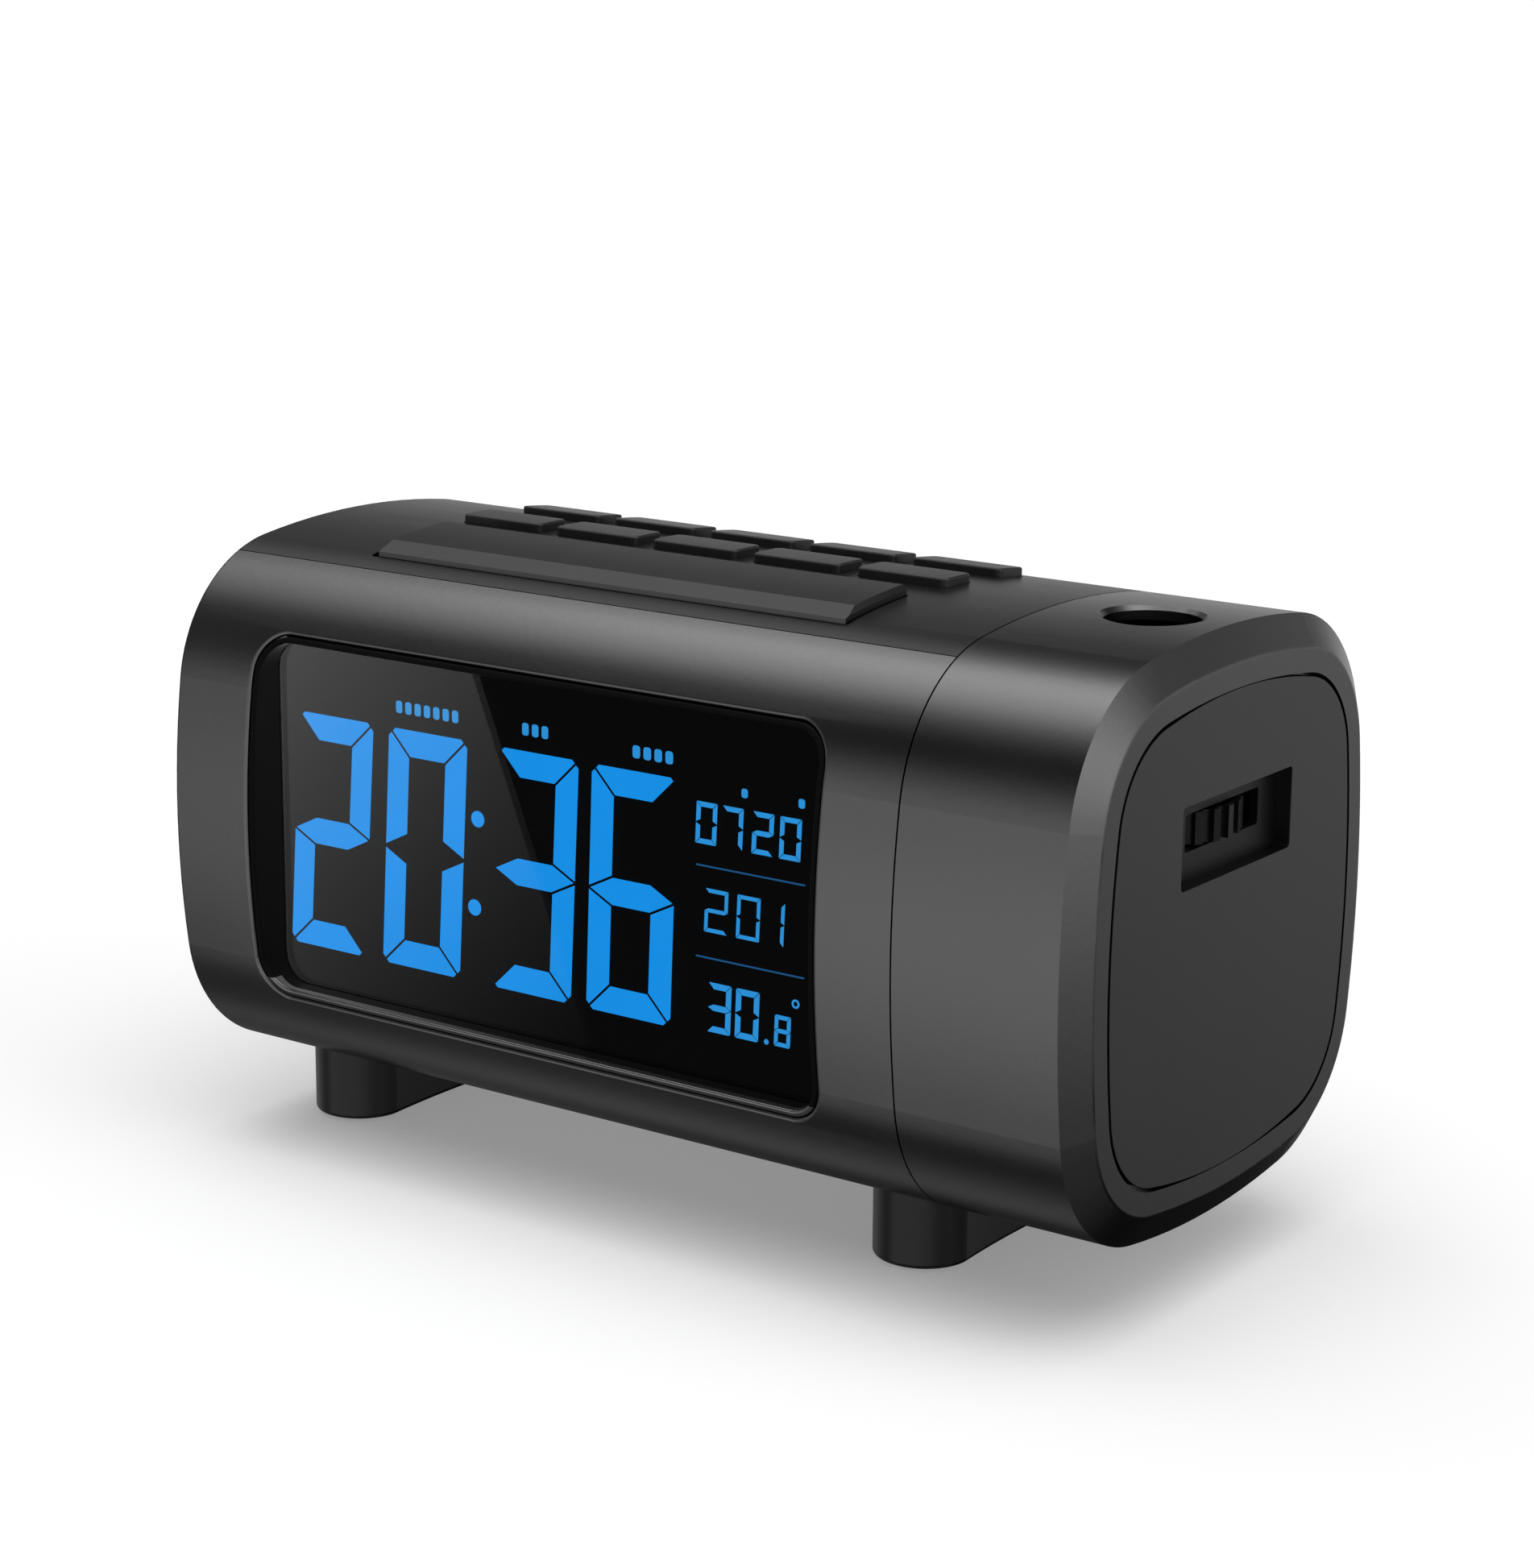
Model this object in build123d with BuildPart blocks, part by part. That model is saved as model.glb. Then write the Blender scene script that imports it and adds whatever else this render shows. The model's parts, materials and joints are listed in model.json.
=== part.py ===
from build123d import *
import os
from math import acos, cos, degrees, radians, sin, sqrt

os.makedirs("parts", exist_ok=True)

# Millimetres. The body lies along X, its display faces -Y, up is +Z and the floor is Z = 0.

# Body section: a square whose sides bulge a little, with large round corners
LENGTH = 185.0
HALF = 47.8                 # half of its height and of its depth
CROWN_R = 165.0             # radius of the bulging sides
CORNER_R = 26.0
WALL = 2.2
FOOT_HEIGHT = 12.6
SEAM = 0.2                  # open line between two casing parts
FIT = 0.1                   # clearance between pieces that are fixed together

# Ends: bevel, flat ring, groove and inner panel
BEVEL_DEPTH = 3.0           # along X
BEVEL_WIDTH = 5.2
BEVEL_SOFT = 1.0            # fillet where the bevel meets the flat ring
RING_WIDTH = 9.2            # from the skin to the groove
GROOVE = 0.7                # at the sides and corners
GROOVE_MIN = 0.15           # at the middle of the top and bottom
GROOVE_DEPTH = 1.2
PANEL_THICKNESS = 2.2
PANEL_LEDGE = 2.8           # how far the ledge reaches in behind the panel
LEDGE_THICKNESS = 1.5
SPIGOT_LENGTH = 5.0
SPIGOT_WALL = 2.0

# Casing seams
TOP_SEAM_IN = 17.0          # edges of the top cover, in from the front and rear skins
LOW_SEAM_IN = 21.8          # front shell to rear shell, in from the front skin

# Projector head
HEAD_LENGTH = 32.5
HEAD_GAP = 0.3              # between the body and the turning head
HEAD_PLATE = 2.0
HUB_R = 18.0
HUB_PLAY = 0.06             # running clearance on the radius
HUB_BORE_R = 14.0
BULKHEAD = 2.85
BEARING_LENGTH = 7.85
BEARING_WALL = 4.0
RETAINER = 2.7
RETAINER_RIM = 4.5
RETAINER_GAP = 0.3
FRICTION_GAP = 0.25         # friction strip, out from the retainer
FRICTION_STRIP = 0.5
FRICTION_ARC = (50, 80)     # start and sweep of the strip, degrees
FRICTION_TAB = 8            # sweep of its two feet, degrees
LENS_HOLE_R = 7.8
LENS_HOLE_SINK = 0.8

# Focus wheel, its recess in the end panel, and the lens carriage
WHEEL_SUNK = 1.25           # rim of the wheel, in from the end face
WHEEL_Z = 17.0              # centre, above the body's axis
WHEEL_HEIGHT = 5.2
WHEEL_RIBS = 26
RIB_DEPTH = 0.8
RIB_WIDTH = 1.5
WHEEL_HUB_R = 10.5
WHEEL_HUB_STEP = 1.0
WHEEL_GAP = 0.2
THREAD_PLAY = 0.06
RECESS_WIDTH = 35.0
RECESS_LOW = 9.4            # above the body's axis
RECESS_HIGH = 22.7
RECESS_DEPTH = 2.85
RECESS_WALL = 1.5
RECESS_R = 0.8
SLOT_R = 0.5
SLOT_SIDE = 2.5             # slot, past the wheel's rim on each side
SLOT_MARGIN = 0.4           # above and below the wheel
CELL_R = 7.0
CELL_BORE_R = 5.8
CELL_LOW = 8.5
CELL_SUNK = 4.3             # top of the lens cell, under the skin
CELL_RIB = 1.4
CELL_RIB_DEPTH = 0.9
GUIDE_WALL = 1.9
GUIDE_PLAY = 0.1
LENS_TRAVEL = 1.7
RIB_PLAY = 0.15
RIB_END = 2.0               # ribs' ends, in from the guide's ends at full travel
POCKET_GAP = 3.0            # under the lens cell at its lowest
POCKET_SIDE = 0.6
WHEEL_SIDE = 1.2            # frame's side walls, out from the wheel
LENS_EDGE = 1.2
FRONT_DOME = 2.4
REAR_DOME = 1.6
LENS_SUNK = 1.0             # lenses, in from the ends of the cell

# Projector light engine
ENGINE = 22.0               # square housing
ENGINE_BORE_R = 9.4
ENGINE_LOW = -32.0
LCD_SEAT = -8.0
GATE = 10.0                 # square light gate above the small display
FRAME_WALL = 2.0
FRAME_X = 20.0
EAR_Y = 15.5
EAR_Z = (-28.0, -2.0)
EAR_R = 3.4
EAR = 1.8
EAR_INSET = 2.75            # ears, in from the housing's face on the hub's side
CONDENSER_UP = 6.0          # above the engine's floor
CONDENSER_EDGE = 2.0
CONDENSER_DOME = 4.0
SPACER_WALL = 1.4
LCD_SIDE = 12.8
LCD_THICKNESS = 1.6
SINK = 20.0
SINK_BASE = 2.0
SINK_FINS = 6
FIN = 1.2
FIN_HEIGHT = 6.4

# Display opening and the stack behind it
WINDOW_LEFT_IN = 19.5       # edges of the opening, in from the left end and from the head
WINDOW_RIGHT_IN = 14.4
WINDOW_TOP_IN = 14.5        # and in from the top and the underside
WINDOW_LOW_IN = 17.8
WINDOW_R = 6.5
WINDOW_SOFT = 0.6           # fillet round the opening
BEZEL_WALL = 1.2
BEZEL_SUNK = 0.3            # front edge of the bezel, under the skin
BEZEL_SOFT = 0.4
WINDOW_SUNK = 7.8           # front of the dark window, behind the front skin
WINDOW_THICKNESS = 1.4
WINDOW_LAP = 0.5            # of the window behind the bezel's wall
FLANGE = 1.4
FLANGE_REACH = 1.8
GLASS = 2.2
GLASS_INSET = 1.0
LCD_FRAME_DEPTH = 8.4
LCD_FRAME_BACK = 1.2
GUIDE = 3.2
GUIDE_EDGE = 4.5            # light guide, in from the top and bottom of the frame's cavity
ZEBRA = 2.0
ZEBRA_EDGE = 3.0            # strip's middle, in from the edge of the cavity
ZEBRA_END = 10.0            # slots, in from the ends of the opening
LED_STRIP = 2.4
LED_PITCH = 9.0
LED = 3.5
LED_EDGE = 0.4
BOARD = 1.6
BOARD_SIDE = 0.75           # main board, out past the sides of the opening
EAR_DROP = 18.0             # display screws, above and below the display's middle
EAR_OUT = 5.5               # and out past the sides of the opening
BOSS_R = 2.8
CHIPS = ((-27.25, -6.0, 14.0, 14.0, 1.6), (4.75, 4.0, 10.0, 8.0, 1.6), (26.75, -12.0, 12.0, 5.0, 3.0),
         (-49.25, 10.0, 9.0, 12.0, 4.0))     # x and z from the board's middle, width, height, depth
CAPACITORS = ((-12.25, 18.0), (-12.25, -20.0))
CAPACITOR = (3.2, 9.0)      # radius and length

# Keys and snooze bar
KEY_COLUMNS = 5
KEY_WIDTH = 17.6
KEY_SPACE = 3.5             # between two keys of a row
KEY_SHIFT = 1.5             # middle of the rows, to the right of the window's middle
KEY_DEPTH = 7.8
KEY_PROUD = 1.5
KEY_BEHIND_BAR = 7.8        # front row, behind the bar
ROW_SPACE = 8.5             # between the two rows
KEY_CORNER = 1.2
KEY_SOFT = 0.35             # fillet round the top of a key
KEY_GAP = 0.25
KEY_FLANGE = 0.9
KEY_TRAVEL = 0.8
BAR_SEAM_GAP = 4.3          # bar's front edge, behind the cover's front edge
BAR_DEPTH = 17.2
BAR_LEFT_IN = 2.6           # bar's ends, in from the ends of the key rows
BAR_RIGHT_IN = 2.4
BAR_PROUD = 1.7
BAR_CORNER = 0.8
BAR_CHAMFER = 3.7
BAR_LIP = 0.8               # height of the bar's front edge over the cover
BAR_GAP = 0.4
BAR_LEFT_GAP = 1.6
BAR_TRAVEL = 1.0
BAR_WALL = 1.6
BAR_POST = 30.0             # posts, each side of the bar's middle
FLANGE_DROP = 0.3           # flange under the cover's inner face
FLANGE_HEIGHT = 0.9
KEY_BOARD_DROP = 11.6       # underside of the key board, below the cover's inner face
KEY_BOARD_END = 9.2         # key board, out past the ends of the key rows
KEY_BOARD_FRONT = 1.0       # and out past the bar
KEY_BOARD_REAR = 5.6        # and past the rear row
KEY_BOSS_IN = 3.5           # its screws, in from its ends
KEY_BOSS_Y = (1.9, 3.5)     # behind the middle of the bar, in front of the rear row's middle
SWITCH = 6.0
SWITCH_HEIGHT = 3.6
SWITCH_BORE_R = 1.7
SWITCH_BORE = 2.2
TIP_R = 1.4
TIP_IN = 0.6
STEM_R = 2.2
STEM_STEP = 0.4             # from a pressed stem's shoulder to the switch

# Ribbon cable from the main board up to the key board
RIBBON_SHIFT = 41.75        # its middle, from the display's middle
RIBBON_WIDTH = 16.0
RIBBON = 0.6
RIBBON_BACK = 1.9           # upper connector, behind the middle of the bar
RIBBON_BEND = 9.0           # level run, below the key board
RIBBON_BEND_R = 2.0
CONNECTOR = 4.0
CONNECTOR_DROP = 16.0       # lower connector, below the key board

# Rear sockets, loudspeaker and battery bay
SPEAKER_SHIFT = 28.75       # left of the main body's middle
SPEAKER_R = 20.0
SPEAKER_IN = 3.2            # front of its flange, in from the rear wall's inner face
SPEAKER_FLANGE = 1.6
SPEAKER_RIM = 3.0           # flat rim of the basket
BASKET_DEPTH = 8.0
BASKET_WALL = 0.4
BASKET_BORE = 7.0
BORE_TAPER = 30
MAGNET = (11.0, 7.0)        # radius and length
CONE_GAP = 1.1              # cone's edge, in from the basket's rim
CONE_DEPTH = 4.4
CONE_WALL = 1.2
CONE_FLOOR = 0.8
CONE_SUNK = 1.0
BASKET_TAPER = 25
CONE_TAPER = 32
CLAMP = 1.6
CLAMP_RIM = 2.0
CLAMP_EAR = 0.6
SPEAKER_SCREW_R = 24.0
GRILLE_R = 17.0
GRILLE_PITCH = 4.0
GRILLE_SLOT = 1.6
JACK_IN = 21.85             # power inlet, in from the body's right end
USB_SPACE = 20.0            # charging socket, left of the inlet
IO_BOARD_UP = 23.6          # underside of the socket board, above the body's floor
IO_BOARD_IN = 0.2           # its rear edge, in from the rear wall at its height
IO_BOARD_DEPTH = 19.9
IO_BOARD_ENDS = (14.0, 10.0)         # past the middles of the two sockets
IO_POST_ENDS = (10.0, 7.5)
IO_POST_Y = 6.1             # its screws, behind its front edge
SOCKET_SUNK = 0.3           # sockets' faces, under the skin
JACK = (9.0, 13.6, 11.0)
JACK_NOSE_R = 4.4
JACK_BORE_R = 2.9
JACK_BORE = 10.0
JACK_PIN_R = 1.0
JACK_PIN_SUNK = 1.0
USB = (14.6, 15.0, 7.2)
USB_MOUTH = (12.6, 5.2)
USB_BORE = 11.0
USB_TONGUE = (11.2, 1.5)    # width and thickness
USB_TONGUE_UP = 0.4
USB_TONGUE_SUNK = 1.0
BAY_LENGTH = 49.0
BAY_WIDTH = 24.0
BAY_DEPTH = 12.6
BAY_WALL = 1.4
BAY_RIM = 0.4               # rim that stops the door
DOOR_THICKNESS = 1.8
DOOR_GAP = 0.3
TAB = (12.0, 1.2, 1.5)      # snap tab: length, thickness, height over the door
TAB_IN = 1.0
CONTACT = 0.5
CONTACT_SIDE = 8.0
CELL_UP = 6.0               # middle of a battery, above the bay's mouth
SPRING_TURNS = ((3.2, 1.0), (2.6, 1.0), (2.0, 0.8))
STUD = ((2.0, 0.6),)

# Feet and screws
FOOT_R = 8.4
FOOT_NOSE_Y = 15.5
FOOT_WAIST = 7.8
FOOT_LEFT_IN = 15.6         # middle of each foot, in from the ends of the main body
FOOT_RIGHT_IN = 14.0
FOOT_SOFT = 0.8
PAD_R = 6.0
PAD_THICKNESS = 1.6
PAD_PROUD = 0.6
FOOT_SCREW_Y = 12.0
SCREW_R = 1.2
SCREW_HEAD_R = 2.3
SCREW_HEAD = 1.5
SCREW_GAP = 1.0             # blind hole past a screw's tip
POST_R = 3.2
POST_IN = (9.3, 7.35)       # posts, in from the left and right ends of the body
POST_DROP = 18.8            # and in from the top and the underside
POST_SCREW = 16.0
FOOT_BOSS = 8.0
DISPLAY_SCREW = 9.0
KEY_SCREW = 6.0
IO_SCREW = 8.0
SPEAKER_SCREW = 3.0

# Cable to the projector head
CABLE_R = 1.5
CABLE_BEND_R = 6.0
PLUG = (8.0, 7.0, 1.0)      # length, side, corner radius
PLUG_OUT = 4.0              # out of the hub

# Places that follow from the sizes above
AXIS_Z = FOOT_HEIGHT + HALF
TOP_SEAM_Y = HALF - TOP_SEAM_IN
LOW_SEAM_Y = LOW_SEAM_IN - HALF
CROWN_ANGLE = degrees(acos((CROWN_R - HALF) / (CROWN_R - CORNER_R) / sqrt(2))) - 45
CORNER_C = (CROWN_R - CORNER_R) * sin(radians(CROWN_ANGLE))
LEFT = -LENGTH / 2
RIGHT = LENGTH / 2
CAP_X = LEFT + BEVEL_DEPTH
BODY_LEFT = CAP_X + SEAM
SEAM_X = RIGHT - HEAD_LENGTH
BODY_RIGHT = SEAM_X - HEAD_GAP / 2
BODY_MIDDLE = (LEFT + SEAM_X) / 2
HEAD_LEFT = SEAM_X + HEAD_GAP / 2
PLATE_X = HEAD_LEFT + HEAD_PLATE
BEARING_X = BODY_RIGHT - BEARING_LENGTH
HUB_END = BEARING_X - RETAINER_GAP - RETAINER
LENS_X = SEAM_X + HEAD_LENGTH / 2
CELL_HIGH = HALF - CELL_SUNK
WHEEL_R = HEAD_LENGTH / 2 - WHEEL_SUNK
PANEL_X = RIGHT - PANEL_THICKNESS
LEDGE_X = PANEL_X - LEDGE_THICKNESS
WINDOW_WIDTH = SEAM_X - LEFT - WINDOW_LEFT_IN - WINDOW_RIGHT_IN
WINDOW_HEIGHT = 2 * HALF - WINDOW_TOP_IN - WINDOW_LOW_IN
WINDOW_X = BODY_MIDDLE + (WINDOW_LEFT_IN - WINDOW_RIGHT_IN) / 2
WINDOW_Y = WINDOW_SUNK - HALF
WINDOW_Z = AXIS_Z + (WINDOW_LOW_IN - WINDOW_TOP_IN) / 2
WHEEL_LOW = AXIS_Z + WHEEL_Z - WHEEL_HEIGHT / 2
WHEEL_HIGH = WHEEL_LOW + WHEEL_HEIGHT
SHELF_TOP = WHEEL_LOW - WHEEL_HUB_STEP - WHEEL_GAP
GUIDE_LOW = WHEEL_HIGH + WHEEL_HUB_STEP + WHEEL_GAP
GUIDE_HIGH = AXIS_Z + CELL_HIGH - 3.5
BEZEL_BACK = WINDOW_Y + WINDOW_THICKNESS
LCD_FRAME_Y = BEZEL_BACK + FLANGE
LCD_BACK_Y = LCD_FRAME_Y + LCD_FRAME_DEPTH
MAIN_BOARD_Y = LCD_BACK_Y + FIT
KEY_BOARD_Z = AXIS_Z + HALF - WALL - KEY_BOARD_DROP
KEY_BOARD_TOP = KEY_BOARD_Z + BOARD
SWITCH_TOP = KEY_BOARD_TOP + SWITCH_HEIGHT
KEY_PITCH = KEY_WIDTH + KEY_SPACE
KEY_X = [WINDOW_X + KEY_SHIFT + KEY_PITCH * (i - (KEY_COLUMNS - 1) / 2) for i in range(KEY_COLUMNS)]
KEYS_LEFT = KEY_X[0] - KEY_WIDTH / 2
KEYS_RIGHT = KEY_X[-1] + KEY_WIDTH / 2
BAR_LEFT = KEYS_LEFT + BAR_LEFT_IN
BAR_RIGHT = KEYS_RIGHT - BAR_RIGHT_IN
BAR_FRONT = BAR_SEAM_GAP - TOP_SEAM_Y
BAR_REAR = BAR_FRONT + BAR_DEPTH
BAR_MIDDLE = (BAR_LEFT + BAR_RIGHT) / 2
BAR_SWITCH_Y = (BAR_FRONT + BAR_REAR) / 2
FRONT_ROW_Y = BAR_REAR + KEY_BEHIND_BAR + KEY_DEPTH / 2
REAR_ROW_Y = FRONT_ROW_Y + KEY_DEPTH + ROW_SPACE
KEY_ROWS = {"front": FRONT_ROW_Y, "rear": REAR_ROW_Y}
RIBBON_X = WINDOW_X + RIBBON_SHIFT
RIBBON_REAR_Y = BAR_SWITCH_Y + RIBBON_BACK
INNER_Y = HALF - WALL
SPEAKER_X = BODY_MIDDLE - SPEAKER_SHIFT
SPEAKER_Y = INNER_Y - SPEAKER_IN
JACK_X = BODY_RIGHT - JACK_IN
USB_X = JACK_X - USB_SPACE
IO_BOARD_Z = AXIS_Z - INNER_Y + IO_BOARD_UP
IO_TOP = IO_BOARD_Z + BOARD
JACK_Z = IO_TOP + JACK[2] / 2
USB_Z = IO_TOP + USB[2] / 2
BAY_LOW = AXIS_Z - INNER_Y
FOOT_X = {"left": LEFT + FOOT_LEFT_IN, "right": SEAM_X - FOOT_RIGHT_IN}


def rise(y, inset=0.0):
    """Distance of the section's skin from its centre line, at distance y along the side."""
    bend = CORNER_C + (CORNER_R - inset) * sin(radians(CROWN_ANGLE))
    if abs(y) <= bend:
        return HALF - CROWN_R + sqrt((CROWN_R - inset) ** 2 - y * y)
    return CORNER_C + sqrt((CORNER_R - inset) ** 2 - (abs(y) - CORNER_C) ** 2)


def across(x):
    """Plane across the body at x: its own X is +Y, its own Y is +Z from the body's axis."""
    return Plane(origin=(x, 0, AXIS_Z), x_dir=(0, 1, 0), z_dir=(1, 0, 0))


def facing(y, x=0.0, z=AXIS_Z):
    """Plane that faces the front: its own X is +X, its own Y is +Z."""
    return Plane(origin=(x, y, z), x_dir=(1, 0, 0), z_dir=(0, -1, 0))


def behind(y, x=0.0, z=AXIS_Z):
    """Plane that faces the rear."""
    return Plane(origin=(x, y, z), x_dir=(-1, 0, 0), z_dir=(0, 1, 0))


def level(z, x=0.0, y=0.0):
    """Level plane at height z, with its origin over (x, y)."""
    return Plane(origin=(x, y, z))


class BodySection(BaseSketchObject):
    """The body's outline, drawn in from the skin by inset."""

    def __init__(self, inset=0.0, mode=Mode.ADD):
        with BuildSketch() as section:
            with BuildLine():
                for turn in (0, 90, 180, 270):
                    crown = Vector(0, HALF - CROWN_R).rotate(Axis.Z, turn)
                    corner = Vector(CORNER_C, CORNER_C).rotate(Axis.Z, turn)
                    CenterArc(crown, CROWN_R - inset, turn + 90 - CROWN_ANGLE, 2 * CROWN_ANGLE)
                    CenterArc(corner, CORNER_R - inset, turn + CROWN_ANGLE, 90 - 2 * CROWN_ANGLE)
            make_face()
        super().__init__(section.sketch, mode=mode)


class PanelSection(BaseSketchObject):
    """The inner end panel: its groove closes towards the middle of the top and bottom."""

    def __init__(self, mode=Mode.ADD):
        inset = RING_WIDTH + GROOVE
        bend = CORNER_C + (CORNER_R - inset) * sin(radians(CROWN_ANGLE))
        high = rise(bend, inset)
        middle = HALF - RING_WIDTH - GROOVE_MIN
        with BuildSketch() as section:
            with BuildLine():
                for turn in (0, 180):
                    side = Vector(HALF - CROWN_R, 0).rotate(Axis.Z, turn)
                    CenterArc(side, CROWN_R - inset, turn - CROWN_ANGLE, 2 * CROWN_ANGLE)
                    flip = 1 if turn == 0 else -1
                    ThreePointArc((bend * flip, high * flip), (0, middle * flip), (-bend * flip, high * flip))
                for turn in (0, 90, 180, 270):
                    corner = Vector(CORNER_C, CORNER_C).rotate(Axis.Z, turn)
                    CenterArc(corner, CORNER_R - inset, turn + CROWN_ANGLE, 90 - 2 * CROWN_ANGLE)
            make_face()
        super().__init__(section.sketch, mode=mode)


class Sector(BaseSketchObject):
    """Wedge from the body's axis out past the skin, pulled in by half a seam."""

    def __init__(self, *points, mode=Mode.INTERSECT):
        with BuildSketch() as wedge:
            with BuildLine():
                Polyline((0, 0), *points, close=True)
            make_face()
            offset(amount=-SEAM / 2, kind=Kind.INTERSECTION)
        super().__init__(wedge.sketch, mode=mode)


class CrownBand(BaseSketchObject):
    """Slice of the top between two insets, from one y to another; below=True gives the underside."""

    def __init__(self, low, high, top, bottom, below=False, mode=Mode.ADD):
        sign = -1 if below else 1
        middle = (low + high) / 2
        with BuildSketch() as band:
            with BuildLine():
                outer = [(y, sign * rise(y, top)) for y in (low, middle, high)]
                inner = [(y, sign * rise(y, bottom)) for y in (high, middle, low)]
                ThreePointArc(*outer)
                Line(outer[2], inner[0])
                ThreePointArc(*inner)
                Line(inner[2], outer[0])
            make_face()
        super().__init__(band.sketch, mode=mode)


class FootPlan(BaseSketchObject):
    """Bar foot with round noses and a slight waist."""

    def __init__(self, mode=Mode.ADD):
        with BuildSketch() as plan:
            with BuildLine():
                for end in (1, -1):
                    nose = FOOT_NOSE_Y * end
                    ThreePointArc((FOOT_R * end, nose), (0, nose + FOOT_R * end), (-FOOT_R * end, nose))
                    ThreePointArc((FOOT_R * end, nose), (FOOT_WAIST * end, 0), (FOOT_R * end, -nose))
            make_face()
        super().__init__(plan.sketch, mode=mode)


def seam_point(y, sign=1):
    """Point well outside the skin, on the line from the axis through the seam at y."""
    return 2 * y, 2 * sign * rise(y)


TOP_FRONT = seam_point(-TOP_SEAM_Y)
TOP_REAR = seam_point(TOP_SEAM_Y)
LOW_FRONT = seam_point(LOW_SEAM_Y, -1)
FAR = 3 * HALF


def trim_to_section(inset, left, right):
    """Cuts what the open part holds so far back to the body's outline, drawn in by inset."""
    with BuildSketch(across(left)) as inside:
        BodySection(inset)
    extrude(inside.sketch, amount=right - left, mode=Mode.INTERSECT)


def add_casing_wall(*points):
    """Adds the body's wall between the seams to the open part."""
    with BuildSketch(across(BODY_LEFT)) as wall:
        BodySection()
        BodySection(WALL, mode=Mode.SUBTRACT)
        Sector(*points)
    extrude(wall.sketch, amount=BODY_RIGHT - BODY_LEFT)


def rod(plane, radius, length, mode=Mode.ADD):
    """Round bar or hole that starts on a plane."""
    with BuildSketch(plane) as disc:
        Circle(radius)
    extrude(disc.sketch, amount=length, mode=mode)


def block(low, high, mode=Mode.ADD):
    """Box between two corners."""
    size = [b - a for a, b in zip(low, high)]
    with Locations(tuple(low)):
        Box(*size, align=(Align.MIN, Align.MIN, Align.MIN), mode=mode)


def screw(plane, length):
    """Pan-head screw: the head stands on the plane's back, the shank runs along its normal."""
    rod(plane, SCREW_R, length)
    rod(plane, SCREW_HEAD_R, -SCREW_HEAD)


def window_rim(part, depth):
    """The open part's edges round the display opening that lie at this depth under the skin."""
    def on_rim(p):
        return (abs(-p.Y - rise(p.Z - AXIS_Z, depth)) < 0.001 and
                abs(p.X - WINDOW_X) < WINDOW_WIDTH / 2 + 0.001 and
                abs(p.Z - WINDOW_Z) < WINDOW_HEIGHT / 2 + 0.001)
    return [edge for edge in part.edges() if all(on_rim(edge.position_at(t)) for t in (0.25, 0.5, 0.75))]


# ------------------------------------------------------------------ casing

EAR_X = (WINDOW_X - WINDOW_WIDTH / 2 - EAR_OUT, WINDOW_X + WINDOW_WIDTH / 2 + EAR_OUT)
DISPLAY_EARS = [(x, WINDOW_Z + side * EAR_DROP) for x in EAR_X for side in (-1, 1)]
POST_X = (BODY_LEFT + POST_IN[0], BODY_RIGHT - POST_IN[1])
POSTS = [(x, AXIS_Z + side * (HALF - POST_DROP)) for x in POST_X for side in (-1, 1)]
KEY_BOARD_X = (KEYS_LEFT - KEY_BOARD_END, KEYS_RIGHT + KEY_BOARD_END)
KEY_BOSS_X = (KEY_BOARD_X[0] + KEY_BOSS_IN, KEY_BOARD_X[1] - KEY_BOSS_IN)
KEY_BOARD_BOSSES = [(x, y) for x in KEY_BOSS_X
                    for y in (BAR_SWITCH_Y + KEY_BOSS_Y[0], REAR_ROW_Y - KEY_BOSS_Y[1])]

with BuildPart() as front_shell:
    for x, z in POSTS:
        rod(facing(0, x, z), POST_R, HALF)
    for x, z in DISPLAY_EARS:
        rod(facing(LCD_BACK_Y - LCD_FRAME_BACK, x, z), BOSS_R, HALF)
    trim_to_section(WALL / 2, BODY_LEFT, BODY_RIGHT)
    add_casing_wall(TOP_FRONT, (-FAR, HALF), (-FAR, -HALF), LOW_FRONT)
    with BuildSketch(facing(0, WINDOW_X, WINDOW_Z)):
        RectangleRounded(WINDOW_WIDTH, WINDOW_HEIGHT, WINDOW_R)
    extrude(amount=FAR, mode=Mode.SUBTRACT)
    fillet(window_rim(front_shell, 0), WINDOW_SOFT)
    for x, z in POSTS:
        rod(facing(0, x, z), SCREW_R, POST_SCREW, mode=Mode.SUBTRACT)
    for x, z in DISPLAY_EARS:
        rod(facing(MAIN_BOARD_Y, x, z), SCREW_R, DISPLAY_SCREW, mode=Mode.SUBTRACT)

IO_REAR = rise(IO_BOARD_Z - AXIS_Z, WALL) - IO_BOARD_IN
IO_FRONT = IO_REAR - IO_BOARD_DEPTH
IO_POSTS = [(x, IO_FRONT + IO_POST_Y) for x in (USB_X - IO_POST_ENDS[0], JACK_X + IO_POST_ENDS[1])]
SPEAKER_SCREWS = [(SPEAKER_SCREW_R * cos(radians(turn)), SPEAKER_SCREW_R * sin(radians(turn)))
                  for turn in (30, 150, 270)]
FOOT_SCREWS = [(x, y) for x in FOOT_X.values() for y in (-FOOT_SCREW_Y, FOOT_SCREW_Y)]
FOOT_BOSS_TOP = BAY_LOW + FOOT_BOSS

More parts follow.
